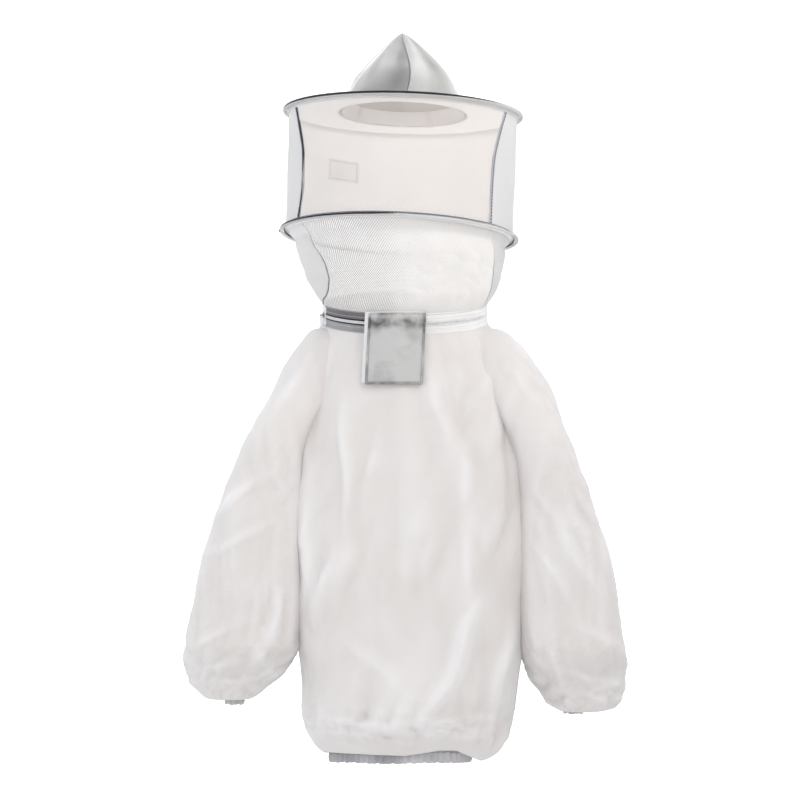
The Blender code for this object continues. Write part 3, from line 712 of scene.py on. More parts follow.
def body_points():
    rows = by_length(BODY, BODY_ROWS)
    turn = np.linspace(0, 2 * np.pi, BODY_COLUMNS, endpoint=False)[None, :]
    z, left, right, deep, tilt, back = (rows[:, k][:, None] for k in range(6))
    unit_x, unit_y = squarish(turn, smooth(np.array(BODY_FULLNESS), z[:, 0]))
    x = np.where(np.cos(turn) > 0, right, left) * unit_x
    y = back + deep * unit_y
    # the hem rides up at the front, and hangs over the band's end on the wearer's left
    dip = np.interp(x, *HEM_DIP) * smoothstep(0.03, -0.03, y) + hem_lift(x, y)
    height = z + tilt * math.tan(NECK_TILT) * (y - back) + dip * (1 - smoothstep(0.02, 0.15, z))
    points = points_at(x, y, height)
    row = np.linspace(0, 1, BODY_ROWS)[:, None]
    free = smoothstep(0.017, 0.034, z) * (1 - smoothstep(0.60, 0.712, z)) ** 0.7 * smoothstep(0.05, 0.07, row)
    low = 1 - smoothstep(0.03, 0.15, z)
    high = smoothstep(0.60, 0.69, z)
    # folds of five sizes, each squeezed in height and slanted across its own way
    large = creased(slanted(points, 0.42, np.abs(x) * 0.25), 13, 3.1, 0.07) * 0.0180
    middle = creased(slanted(points, 0.5, -x * 0.6), 27, 8.4) * 0.0105
    small = creased(slanted(points, 0.45, x * 0.6), 62, 1.7) * 0.0030
    flat = slanted(points, 2.4, x * 0.4)
    crumple = creased(flat, 24, 5.5) * 0.0100 * low + creased(flat, 52, 2.5) * 0.0050 * low
    tiny = creased(slanted(points, 0.9, 0.0), 120, 6.1) * 0.0012
    patch = np.clip(0.45 + field(points, 7.0, 12.0), 0.1, 1.0) + 0.7 * low
    pleat = np.sin(44 * turn + 3 * np.sin(5 * turn)) * 0.0007 * low
    high = high * (1 - smoothstep(0.70, 0.712, z))
    pleat = pleat + np.sin(34 * turn + 2 * np.sin(3 * turn)) * 0.0009 * high
    single = ridges(x, z, BODY_FOLDS) * (1 - smoothstep(-0.07, -0.03, y)) * 1.8
    # the back hangs in a few broad folds, calmer than the front
    behind = smoothstep(0.0, 0.06, y)
    single = single + ridges(0.02 - x, z - 0.03, BODY_FOLDS) * smoothstep(0.03, 0.07, y) * 1.6
    calm = 1 - 0.6 * behind
    middle, small, tiny, crumple = middle * calm, small * calm, tiny * calm, crumple * (1 - 0.3 * behind)
    offset = free * at_sides(turn) * (large + middle * patch + (small + tiny) * patch + crumple + single)
    offset = offset + pleat * smoothstep(0.0205, 0.030, z) * smoothstep(0.05, 0.07, row)
    # the folds' height goes to the relief, for the cotton's painted shade and highlight
    height = 0.4 * large + 0.8 * middle * patch + (small + tiny) * patch * 0.8 + crumple + single
    return points + outward(turn, z) * offset[..., None], free * height / FOLD_HEIGHT


def build_body():
    done, height = body_points()
    half = BODY_COLUMNS // 2
    columns = np.arange(BODY_COLUMNS + 1) % BODY_COLUMNS
    for name, pick in (("back", columns[:half + 1]), ("front", columns[half:])):
        panel = relief(surface(f"jacket_{name}_cloth", done[:, pick]), height[:, pick])
        thicken(panel, CLOTH)
        finish(panel, MAT["cotton"], "jacket", f"jacket_{name}", slot="cotton")


# ---------------------------------------------------------------- sleeves

# height, inner edge, outer edge and half-depth, from the shoulder down to the cuff
SLEEVES = {
    "left": (
        (0.7020, 0.118, 0.138, 0.012), (0.6990, 0.105, 0.150, 0.042), (0.6780, 0.090, 0.1690, 0.074),
        (0.6400, 0.088, 0.1935, 0.093), (0.5890, 0.105, 0.2190, 0.098), (0.5400, 0.140, 0.2450, 0.094),
        (0.4930, 0.157, 0.2655, 0.088), (0.4400, 0.159, 0.2860, 0.083), (0.3800, 0.159, 0.3060, 0.080),
        (0.2830, 0.159, 0.3310, 0.077), (0.2030, 0.164, 0.3465, 0.076), (0.1700, 0.177, 0.3510, 0.075),
        (0.1430, 0.200, 0.3475, 0.070), (0.1200, 0.228, 0.3300, 0.058), (0.1080, 0.248, 0.3130, 0.044),
        (0.1110, 0.2560, 0.2960, 0.0270), (0.1080, 0.2570, 0.2950, 0.0255),
    ),
    "right": (
        (0.7020, 0.118, 0.140, 0.012), (0.6990, 0.105, 0.156, 0.042), (0.6780, 0.090, 0.1830, 0.074),
        (0.6500, 0.088, 0.2060, 0.090), (0.6200, 0.095, 0.2250, 0.098), (0.5800, 0.115, 0.2430, 0.099),
        (0.5360, 0.150, 0.2570, 0.096), (0.4800, 0.174, 0.2760, 0.088), (0.4120, 0.178, 0.2980, 0.083),
        (0.3000, 0.177, 0.3300, 0.078), (0.2030, 0.179, 0.3460, 0.076), (0.1600, 0.189, 0.3530, 0.076),
        (0.1120, 0.220, 0.3490, 0.066), (0.0930, 0.240, 0.3340, 0.050), (0.0880, 0.252, 0.3080, 0.034),
        (0.0950, 0.2540, 0.2900, 0.0255), (0.0920, 0.2550, 0.2890, 0.0245),
    ),
}
SLEEVE_ROWS, SLEEVE_COLUMNS = 230, 190
SLEEVE_FOLDS = {
    "left": (
        (-0.150, 0.660, -0.210, 0.560, 0.010, 0.0045), (-0.300, 0.400, -0.230, 0.450, 0.010, 0.0050),
        (-0.310, 0.340, -0.220, 0.380, 0.009, 0.0040), (-0.200, 0.260, -0.230, 0.170, 0.010, 0.0040),
        (-0.330, 0.190, -0.270, 0.230, 0.008, 0.0040), (-0.330, 0.155, -0.250, 0.175, 0.007, 0.0040),
        (-0.320, 0.135, -0.240, 0.145, 0.006, 0.0035), (-0.225, 0.185, -0.205, 0.140, 0.007, 0.0035),
    ),
    "right": (
        (0.165, 0.650, 0.210, 0.575, 0.012, 0.0030), (0.215, 0.420, 0.290, 0.300, 0.012, 0.0055),
        (0.210, 0.340, 0.260, 0.260, 0.009, 0.0040), (0.300, 0.380, 0.320, 0.300, 0.009, 0.0040),
        (0.270, 0.230, 0.330, 0.190, 0.009, 0.0040), (0.240, 0.160, 0.320, 0.140, 0.008, 0.0040),
        (0.220, 0.200, 0.255, 0.120, 0.008, 0.0040), (0.290, 0.120, 0.340, 0.135, 0.007, 0.0035),
    ),
}


def build_sleeve(label):
    side = 1 if label == "right" else -1
    rows = by_length(SLEEVES[label], SLEEVE_ROWS)[::-1]
    turn = np.linspace(0, 2 * np.pi, SLEEVE_COLUMNS, endpoint=False)[None, :]
    z, inner, outer, deep = (rows[:, k][:, None] for k in range(4))
    row = np.linspace(0, 1, SLEEVE_ROWS)[:, None]        # 0 at the cuff, 1 at the shoulder
    unit_x, unit_y = squarish(turn, smooth(np.array(SLEEVE_FULLNESS), z[:, 0]))
    x = side * (inner + outer) / 2 + (outer - inner) / 2 * unit_x
    ahead = SLEEVE_AHEAD * smoothstep(0.12, 0.2, z) * (1 - smoothstep(0.45, 0.64, z))
    y = deep * unit_y + ahead
    points = points_at(x, y, z)
    free = smoothstep(0.02, 0.10, row) * (1 - smoothstep(0.76, 0.92, row))
    low = 1 - smoothstep(0.10, 0.45, row)
    sag = 0.9 * low * points[..., 2]
    large = creased(slanted(points, 0.45, -side * x * 1.1 + sag), 17, 5.0 + side, 0.09) * 0.0130
    middle = creased(slanted(points, 0.9, side * x * 0.9 + sag), 33, 2.0 + side) * 0.0080
    small = creased(slanted(points, 1.5, -side * x * 0.8), 66, 7.0 + side) * 0.0034
    tiny = creased(slanted(points, 1.2, 0.0), 120, 3.0 + side) * 0.0012
    patch = np.clip(0.35 + field(points, 9.0, 4.0 + side), 0.1, 1.0) + 0.9 * low
    gather = np.sin(20 * turn + 2 * np.sin(3 * turn)) * 0.0018 * (1 - smoothstep(0.04, 0.14, row))
    single = ridges(x, z, SLEEVE_FOLDS[label]) * (1 - smoothstep(-0.05, -0.02, y)) * 1.3
    calm = 1 - 0.55 * smoothstep(-0.02, 0.03, y)
    middle, small, tiny = middle * calm, small * calm, tiny * calm
    offset = free * at_sides(turn) * (large + (middle + small + tiny) * patch + single)
    offset = offset + gather * smoothstep(0.01, 0.05, row)
    # nothing pushes in against the body
    inside = smoothstep(0.35, 0.95, -side * np.cos(turn))
    inside = inside * (1 - smoothstep(0.50, 0.60, z)) * smoothstep(0.16, 0.24, z)
    points = points + outward(turn, z) * (offset * (1 - 0.7 * inside))[..., None]
    # the folds' height goes to the relief, for the cotton's painted shade and highlight
    height = free * (0.4 * large + (0.8 * middle + 0.7 * small + 0.7 * tiny) * patch + single) / FOLD_HEIGHT
    tube = relief(surface(f"sleeve_{label}_cloth", points, closed_u=True), height)
    thicken(tube, CLOTH)
    finish(tube, MAT["sleeve"], f"sleeve_{label}", f"sleeve_{label}", slot="cotton")


# ---------------------------------------------------------------- gathered edges


def gathered_ring(name, wide, deep, centre, low, high, pleats, material, body, nodes, slot, thick=0.0030,
                  tilt=0.0):
    """A folded band of cloth, pulled into uneven pleats by the elastic inside. tilt lifts its front."""
    turn = np.linspace(0, 2 * np.pi, pleats * 8, endpoint=False)[None, :]
    loop = np.linspace(0, 2 * np.pi, 14, endpoint=False)[:, None]
    wobble = 0.55 * np.sin(3 * turn + centre * 9) + 0.4 * np.sin(7 * turn + 2.0)
    pleat = 0.5 + 0.5 * np.sin(pleats * turn + 2.2 * wobble)
    fine_fold = 0.5 + 0.5 * np.sin(pleats * 2.3 * turn + 5 * wobble)
    out = thick * np.cos(loop) * (0.55 + 0.45 * pleat) + 0.0020 * (pleat - 0.5) + 0.0006 * fine_fold
    height = (high - low) / 2 * np.sin(loop) * (0.90 + 0.10 * pleat) + (high + low) / 2
    height = height + 0.0005 * np.sin(pleats * turn * 0.5 + wobble) + 0.0007 * np.sin(5 * turn + 1.0)
    x = centre + (wide + out) * np.cos(turn)
    y = (deep + out) * np.sin(turn)
    points = points_at(x, y, np.maximum(height, low) + hem_lift(x, y) * tilt)[::-1]
    finish(surface(name, points, closed_u=True, closed_v=True), material, body, *nodes, slot=slot)


def elastic_ring(name, wide, deep, centre, low, high, ribs, body, node, tilt=0.0):
    """The ribbed elastic inside the gathered band."""
    turn = np.linspace(0, 2 * np.pi, ribs * 6, endpoint=False)[None, :]
    section = np.array(strip_section(-0.0005, 0.0005, low, high))
    out = section[:, :1] + 0.0003 * np.sin(ribs * turn)
    x, y = centre + (wide + out) * np.cos(turn), (deep + out) * np.sin(turn)
    points = points_at(x, y, section[:, 1:] + hem_lift(x, y) * tilt)
    finish(surface(name, points, closed_u=True, closed_v=True), MAT["elastic"], body, node, slot="elastic")


def build_edges():
    wide, deep, centre = 0.1110, HEM_HIGH.y - 0.006, -0.007
    # the hem band's grey is painted shade
    gathered_ring("hem_band", wide, deep, centre, 0.0015, HEM_HIGH.z + 0.0020, 58, MAT["hem"], "jacket",
                  ("hem_casing",), "hem_fabric", tilt=1.0)
    elastic_ring("hem_elastic_band", wide - 0.0004, deep - 0.0004, centre, 0.0045, HEM_HIGH.z - 0.0050, 150,
                 "jacket", "hem_elastic", tilt=1.0)
    middle = (CUFF_LOW.x + CUFF_HIGH.x) / 2
    # each cuff's place off its casing's middle, how much higher it sits, and its half-width
    for side, label, raise_by, offset, wide in ((-1, "left", 0.0145, 0.006, 0.0125),
                                                (1, "right", 0.0, -0.009, 0.0135)):
        low, high = CUFF_LOW.z + raise_by, CUFF_HIGH.z + raise_by
        centre, body = side * middle + offset, f"sleeve_{label}"
        # the cuff band's grey is painted shade
        gathered_ring(f"cuff_{label}_band", wide, 0.0235, centre, low, high, 17, MAT["cuff"], body,
                      (f"cuff_{label}_casing",), "cuff_fabric", thick=0.0024)
        elastic_ring(f"cuff_{label}_elastic_band", wide - 0.0003, 0.0232, centre, low + 0.004, high - 0.004,
                     36, body, f"cuff_{label}_elastic")


# ---------------------------------------------------------------- hat

# share of the way up, share of the base's size
CROWN_PROFILE = ((0.0, 1.0), (0.23, 0.88), (0.405, 0.77), (0.61, 0.565), (0.84, 0.268), (0.95, 0.105),
                 (1.0, 0.0))
# soft folds down each gore: place across it, width, height
CROWN_FOLDS = {
    "front_right": ((0.14, 0.09, 0.0045), (0.42, 0.14, -0.0045), (0.68, 0.10, 0.0030)),
    "back_right": ((0.5, 0.2, -0.0030),),
    "back_left": ((0.5, 0.2, -0.0030),),
    "front_left": ((0.52, 0.14, 0.0065), (0.88, 0.10, -0.0055), (0.14, 0.13, -0.0050)),
}


def arc(place, out, start, end, height):
    """Points along a place, with outward normals, for stitching."""
    angles = np.linspace(start, end, 500)
    points = place(out, angles, height)
    return points, points - place(out - 0.01, angles, height)


def ring_of(name, base_z, out, height, radius, angles, material, body, slot, sides=10):
    """A cord whose radius changes round the hoop; radius and angles are arrays."""
    place = around(HOOP_R, base_z)
    turns = [-2 * math.pi * k / sides for k in range(sides)]
    points = np.stack([place(out + radius * math.cos(t), angles, height + radius * math.sin(t))
                       for t in turns])
    full = angles[-1] - angles[0] > 350
    cord = surface(name, lean(points), closed_u=full, closed_v=True, caps=not full)
    return finish(cord, material, body, slot=slot)


def hoop_ring(name, out, base_z, section, material, body, *nodes, slot):
    """A section carried round the hoop and leaned with the hat; out is from the channel's centre line."""
    ring = sweep(name, around(HOOP_R + out, base_z), section, steps=200)
    return finish(move(ring, lean), material, body, *nodes, slot=slot)


def build_upper_hoop():
    hoop_ring("upper_hoop_roll", 0.0, UPPER_Z, round_section(0, 0, HOOP_HALF * 0.86, 12), MAT["veil_cotton"],
              "hat", "upper_hoop_channel", slot="hoop_piping_dark")
    angles = np.arange(0.0, 360.0, 2.0)
    # thick at the left and middle of the front, thinner towards the right
    reach = np.abs((angles - 245 + 180) % 360 - 180)
    radius = np.interp(reach, (0, 40, 85, 120, 180), (0.0023, 0.0023, 0.0011, 0.0013, 0.0021))
    cord = ring_of("upper_hoop_piping", UPPER_Z, 0.0012, 0.0012, radius, angles, MAT["piping_dark"], "hat",
                   "hoop_piping_dark")
    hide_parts("upper_hoop_wire")
    hoop_ring("upper_hoop_lip", -0.0042, UPPER_Z, strip_section(-0.0008, 0.0008, -0.0070, 0.0),
              MAT["veil_cotton"], "hat", slot="binding")
    path, normals = arc(around(HOOP_R - 0.0034, UPPER_Z), 0.0, 0, 360, -0.0052)
    stitches("upper_hoop_stitches", lean(path), normals, MAT["thread"], "hat")


def build_lower_hoop():
    hoop_ring("lower_hoop_roll", 0.0, LOWER_Z, round_section(0, 0, HOOP_HALF * 0.80, 12), MAT["veil_cotton"],
              "veil", "lower_hoop_channel", slot="hoop_piping_grey")
    dark = np.arange(186.0, 277.0, 1.5)
    radius = np.interp(dark, (186, 200, 258, 276), (0.0013, 0.0020, 0.0019, 0.0006))
    cord = ring_of("lower_hoop_piping_dark", LOWER_Z, 0.0012, 0.0010, radius, dark, MAT["piping_dark"],
                   "veil", "hoop_piping_dark")
    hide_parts("lower_hoop_wire")
    light = np.arange(274.0, 527.0, 2.0)
    radius = np.interp(light, (274, 300, 526), (0.0010, 0.0013, 0.0013))
    ring_of("lower_hoop_piping_light", LOWER_Z, 0.0014, 0.0012, radius, light, MAT["piping_light"], "veil",
            "hoop_piping_grey")
    tip = np.array([178.2, 178.8, 180.0, 181.2, 181.8])
    radius = np.array([0.0006, 0.0018, 0.0022, 0.0018, 0.0006])
    ring_of("lower_hoop_wire_end", LOWER_Z, 0.0024, 0.0002, radius, tip, MAT["piping_dark"], "veil",
            "hoop_wire")
    # the lip is near black: a dark strip standing in for the shade along the hoop's far edge, seen through
    # the net
    hoop_ring("lower_hoop_lip", -0.0042, LOWER_Z, strip_section(-0.0008, 0.0008, 0.0, 0.0060),
              MAT["seam_dark"], "veil", slot="binding")
    path, normals = arc(around(HOOP_R - 0.0034, LOWER_Z), 0.0, 0, 360, 0.0046)
    stitches("lower_hoop_stitches", lean(path), normals, MAT["thread"], "veil")


def build_brim():
    share = np.linspace(0, 1, 26)[:, None]
    turn = np.linspace(0, 2 * np.pi, 180, endpoint=False)[None, :]
    wide = BRIM_R + (CROWN_A - BRIM_R) * share
    deep = BRIM_R + (CROWN_B - BRIM_R) * share
    sag = -0.0022 * np.sin(np.pi * share) + 0.0006 * np.sin(9 * turn + 5 * share) * np.sin(np.pi * share)
    points = points_at(wide * np.cos(turn), deep * np.sin(turn), UPPER_Z + 0.0004 + sag)
    brim = surface("hat_brim_cloth", lean(points), closed_u=True)
    thicken(brim, 0.0010, 0.0)
    finish(brim, MAT["brim"], "hat", "hat_brim", slot="brim_fabric")


def round_crown(inset, base_z, taper=lambda height: 0.0):
    """A place for sweep: the crown's oval, drawn in by inset and by taper(height)."""
    def place(out, angle, height):
        turn = np.radians(angle)
        slide = out - inset - taper(height)
        return lean(points_at((CROWN_A + slide) * np.cos(turn), (CROWN_B + slide) * np.sin(turn),
                              base_z + height))
    return place


def build_crown():
    tall = CROWN_HIGH.z - CROWN_LOW.z + 0.0015
    v = np.linspace(0, 0.992, 40)[:, None]           # stops just short of the peak
    u = np.linspace(0, 1, 30)[None, :]
    full = smooth(np.array(CROWN_PROFILE), v[:, 0])
    for number, (name, folds) in enumerate(CROWN_FOLDS.items()):
        # the seams bow a little, so the peak looks soft and hand-sewn
        bow = math.radians(9) * np.sin(np.pi * v) * (1 if number in (0, 3) else 0.5)
        turn = np.radians(-90 + 90 * number + 90 * u) + bow * np.where(number == 0, 1 - u, 0)
        turn = turn + bow * np.where(number == 3, u, 0)
        puff = 1 + 0.035 * np.sin(np.pi * u) * (1 - v) + 0.012 * np.sin(7 * v + number * 2 + 3 * u)
        pinch = 1 - 0.020 * np.exp(-((u - 0.0) / 0.05) ** 2) - 0.020 * np.exp(-((u - 1.0) / 0.05) ** 2)
        x = CROWN_A * full * puff * pinch * np.cos(turn)
        y = CROWN_B * full * puff * pinch * np.sin(turn)
        points = points_at(x, y, CROWN_LOW.z + v * tall)
        dent = field(points, 26.0, 9.0) * 0.0018 * np.sin(np.pi * np.clip(v * 1.02, 0, 1))
        for at, width, high in folds:
            dent = dent + high * np.exp(-((u - at - 0.08 * v) / width) ** 2) * np.sin(np.pi * v) ** 0.7
        points[..., 0] += dent * np.cos(turn)
        points[..., 1] += dent * np.sin(turn)
        # the dents go to the relief, for the satin's painted shade and highlight
        gore = relief(surface(f"crown_{name}_satin", lean(points)), dent / 0.005)
        fine(gore)
        thicken(gore, CLOTH)
        finish(gore, MAT["crown_shaded" if "left" in name else "crown"], "hat", f"crown_gore_{name}",
               slot="crown_satin")
        # a quarter of the oval along its base, 0.15 up the slant, with bulged sides
        seam, angle = points[:, 0], turn[:, 0]
        out = points_at(np.cos(angle), np.sin(angle), 0.6)
        aside = points_at(-np.sin(angle), np.cos(angle), 0.0)
        for k, step in enumerate((-0.0026, 0.0026)):
            path = seam + aside * step * full + out * 0.0006
            stitches(f"crown_{name}_stitches_{k}", path[:36], out[:36], MAT["thread"], "hat")
    section = strip_section(0.0004, 0.0022, 0.0002, 0.0070)
    base = sweep("crown_base_binding", round_crown(0.0, CROWN_LOW.z), section, steps=160)
    finish(base, MAT["binding"], "hat", slot="binding")


def build_band():
    """The sweatband inside the crown and its two hanging tabs."""
    tall = BAND_HIGH.z - BAND_LOW.z
    place = round_crown(0.0042, BAND_LOW.z, lambda h: 0.0105 * np.clip(h / tall, -0.3, 1))
    band = sweep("sweatband_cloth", place, strip_section(-0.0012, 0.0, 0.0, tall), steps=160)
    finish(band, MAT["band"], "hat", "sweatband", slot="sweatband")
    for label, angle in (("left", 141.0), ("right", 62.0)):
        low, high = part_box(f"head_tab_{label}")
        section = strip_section(-0.0036, -0.0024, low.z - BAND_LOW.z, high.z - BAND_LOW.z)
        tab = sweep(f"head_tab_{label}_cloth", place, section, angle - 3.2, angle + 3.2, 9)
        finish(tab, MAT["label"], "hat", f"head_tab_{label}", slot="sweatband")


# ---------------------------------------------------------------- upright veil


def seam_angle(seams, label, share):
    """Where a bound seam runs round the veil; share is 0 at the lower hoop and 1 at the seam's other end."""
    return smooth(np.array(seams[label]), np.clip(share, 0, 1))[:, 0]


def between(seams, start, end, share, columns):
    """Angles from one bound seam on to the other, a row for each share."""
    first, last = (seam_angle(seams, label, share[:, 0])[:, None] for label in (start, end))
    last = np.where(last < first, last + 360, last)
    return first + (last - first) * np.linspace(0, 1, columns)[None, :]


def veil_sheet(name, start, end, columns, sway, seed):
    """start and end name the seams that the sheet runs between, left to right."""
    z = np.linspace(VEIL_LOW.z - 0.002, VEIL_HIGH.z + 0.002, 46)[:, None]
    share = (z - VEIL_LOW.z) / (VEIL_HIGH.z - VEIL_LOW.z)
    turn = np.radians(between(SEAMS, start, end, share, columns))
    slack = np.sin(np.pi * np.clip(share, 0, 1))
    points = circle(1.0, turn, z)
    ripple = np.sin(turn * 13 + seed) * 0.0006 + field(points * np.array([1, 1, 3.0]), 4.0, seed) * 0.0034
    radius = VEIL_R - 0.0002 - sway * slack + ripple * slack * 0.7
    return surface(name, lean(circle(radius, turn, z)))


def build_veil():
    for name, node, ends, columns, sway, seed, look, slot, wide in (
            ("veil_window_cloth", "veil_window_net", ("left", "right"), 90, 0.0020, 2.0, "window", "net",
             0.36),
            ("veil_back_cloth", "veil_back_panel", ("right", "left"), 170, 0.0012, 6.0, "veil_cotton",
             "veil_fabric", 0.78)):
        cloth = veil_sheet(name, *ends, columns, sway, seed)
        finish(cloth, MAT[look], None, node, slot=slot)
        span_veil(cloth)
    z = np.linspace(VEIL_LOW.z, VEIL_HIGH.z, 60)
    share = (z - VEIL_LOW.z) / (VEIL_HIGH.z - VEIL_LOW.z)
    pull = 0.0016 * np.sin(np.pi * share)
    half = math.degrees(0.0027 / VEIL_R)
    fat = 1 + 0.25 * np.sin(share * 37) * np.sin(share * 13)
    for label, material, thread, size in (("left", MAT["seam_dark"], MAT["seam_light"], 0.0006),
                                          ("right", MAT["seam_light"], MAT["piping_dark"], 0.0012)):
        middle = seam_angle(SEAMS, label, share)
        ring = [circle(VEIL_R - 0.0002 + out - pull, np.radians(middle + aside * half * fat), z)
                for out, aside in ((0.0012, -0.6), (0.0016, 0), (0.0012, 0.6), (0.0, 1), (-0.0018, 0.9),
                                   (-0.0022, 0), (-0.0018, -0.9), (0.0, -1))]
        seam = surface(f"veil_seam_{label}_binding", lean(np.stack(ring, axis=0)), closed_v=True, caps=True)
        finish(seam, material, None, f"veil_seam_{label}", slot="seam_tape")
        span_veil(seam)
        turn = np.radians(middle)
        stitches(f"veil_seam_{label}_stitches", lean(circle(VEIL_R + 0.0012 - pull, turn, z)),
                 circle(1.0, turn, 0.0), thread, "veil", pitch=0.0052, length=0.0034, radius=size, spans=True)
    build_label()


def build_label():
    """A blank woven label inside the back of the veil, with a stitched border."""
    middle, half = 123.5, 9.5
    z = np.linspace(LABEL_LOW.z, LABEL_HIGH.z, 14)[:, None]
    turn = np.radians(np.linspace(middle + half, middle - half, 30)[None, :])
    label = surface("blank_label_cloth", lean(circle(VEIL_R - 0.0062 + 0.0005 * np.sin(turn * 40), turn, z)))
    thicken(label, 0.0006, 0.0)
    finish(label, MAT["label"], None, "care_label", slot="label")
    span_veil(label)
    a, b = np.array(((0.06, 0.1), (0.94, 0.1), (0.94, 0.9), (0.06, 0.9), (0.06, 0.1))).T
    border = circle(VEIL_R - 0.0070, np.radians(middle + half - 2 * half * a),
                    LABEL_LOW.z + (LABEL_HIGH.z - LABEL_LOW.z) * b)
    dense = np.concatenate([np.linspace(border[k], border[k + 1], 20, endpoint=False) for k in range(4)])
    stitches("blank_label_stitches", lean(dense.copy()), -dense * np.array([1, 1, 0]), MAT["seam_grey"],
             "veil", pitch=0.0030, length=0.0026, radius=0.0005, spans=True)


# ---------------------------------------------------------------- lower veil


def bowl_points(angle, share):
    turn = np.radians(angle)
    neck_r = NECK_R + 0.0016
    top_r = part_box("lower_veil_back")[1].x - 0.0004
    # drawn in just under the hoop, then down to the neck
    radius = neck_r + (top_r - neck_r) * (1 - share ** 2.4)
    radius = radius - 0.0085 * smoothstep(0.0, 0.12, share) * (1 - smoothstep(0.45, 1.0, share))
    level = circle(radius, turn, LOWER_Z - HOOP_HALF + 0.002)
    neck = neck_point(radius - NECK_R, angle, 0.0168)
    points = level + (neck - level) * share[..., None]
    slack = np.sin(np.pi * np.clip(share, 0, 1)) ** 0.8
    normal = circle(1.0, turn, 0.25)
    pleat = np.sin(turn * 31 + BOWL_SEED) * 0.0012 * smoothstep(0.45, 1.0, share)
    loose = field(points, 9.0, BOWL_SEED) * 0.0050
    crease = creased(points * np.array([1, 1, 1.6]), 26, BOWL_SEED) * 0.0040
    offset = slack * (loose + crease + pleat)
    return lean(points + normal * offset[..., None]), normal


def bowl_sheet(name, start, end, columns):
    share = np.linspace(0, 1, 70)[:, None]
    angle = between(BOWL_SEAMS, start, end, share, columns)
    return surface(name, bowl_points(angle, share + 0 * angle)[0])


def build_bowl():
    # the cut areas taper from the hoop's arc to the neck's arc
    for name, ends, columns, look, slot, wide, area in (
            ("lower_veil_front", ("left", "right"), 110, "lower_net", "net", 0.35, 0.047),
            ("lower_veil_back", ("right", "left"), 190, "veil_cotton", "veil_fabric", 0.76, 0.076)):
        cloth = bowl_sheet(f"{name}_cloth", *ends, columns)
        finish(cloth, MAT[look], "veil", name, slot=slot)
    share = np.linspace(0.02, 0.985, 70)
    thick = np.interp(share, (0, 0.3, 0.55, 0.9, 1), (0.2, 0.4, 1.1, 1.1, 0.7))[:, None]
    for label, look in (("left", "seam_grey"), ("right", "piping_light")):
        path, normals = bowl_points(seam_angle(BOWL_SEAMS, label, share), share)
        normals = normals / np.linalg.norm(normals, axis=1)[:, None]
        side = np.cross(normals, np.gradient(path, axis=0))
        side = side / np.linalg.norm(side, axis=1)[:, None]
        ring = [path + thick * (side * a + normals * b) for a, b in
                ((-0.0013, 0.0), (-0.0008, 0.0010), (0.0008, 0.0010), (0.0013, 0.0), (0.0008, -0.0010),
                 (-0.0008, -0.0010))]
        seam = surface(f"lower_veil_seam_{label}", np.stack(ring, axis=0), closed_v=True, caps=True)
        finish(seam, MAT[look], "veil", slot="seam_tape")


# ---------------------------------------------------------------- neck zip


def build_zip():
    change = SLIDER_ANGLE + 6.0              # where the white tape gives way to the grey part, whose grey is painted shade beside the flap
    grey_part = (change, ZIP_SPAN[1])
    for side, sign, body in (("upper", 1, "veil"), ("lower", -1, "jacket")):
        # the grey part's tape and cord are grey and near black: painted shade, darkest on the upper side
        for tone, (start, end), cord_look, fat in (
                ("tape_light", (ZIP_SPAN[0], change), "cord_light", 0.0012),
                ("tape", grey_part, "cord_dark", 0.0016)):
            steps = int((end - start) * 0.7)
            low, high = sorted((sign * 0.0026, sign * 0.0148))
            section = strip_section(-0.0006, 0.0006, low, high)
            part = sweep(f"zip_{tone}_{side}", neck_point, section, start, end, steps)
            shade = "tape_dark" if tone == "tape" and sign > 0 else tone
            finish(part, MAT[shade], body, slot="zip_tape")
            section = round_section(0.0001, sign * 0.0033, fat)
            cord = sweep(f"zip_{tone}_{side}_cord", neck_point, section, start, end, steps)
            finish(cord, MAT[cord_look], body, slot="zip_tape")
        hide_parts(f"zip_tape_{side}")
        build_teeth(side, sign, body)
        low, high = sorted((sign * 0.0134, sign * 0.0178))
        section = strip_section(-0.0013, 0.0019, low, high)
        edge = sweep(f"{body}_neck_tape", neck_point, section, ZIP_SPAN[1] - 360, change, 180)
        finish(edge, MAT["binding"], body, f"{body}_neck_binding", slot="binding")
        # the binding over the grey part is grey too: painted shade
        grey = sweep(f"{body}_neck_tape_grey", neck_point, section, *grey_part, 40)
        finish(grey, MAT["tape_dark" if sign > 0 else "tape"], body, slot="binding")
        path, normals = arc(neck_point, 0.0022, 0, 360, sign * 0.0158)
        stitches(f"{body}_neck_stitches", path, normals, MAT["thread"], body)
        path, normals = arc(neck_point, 0.0009, *ZIP_SPAN, sign * 0.0082)
        stitches(f"zip_tape_{side}_stitches", path, normals, MAT["thread"], body)


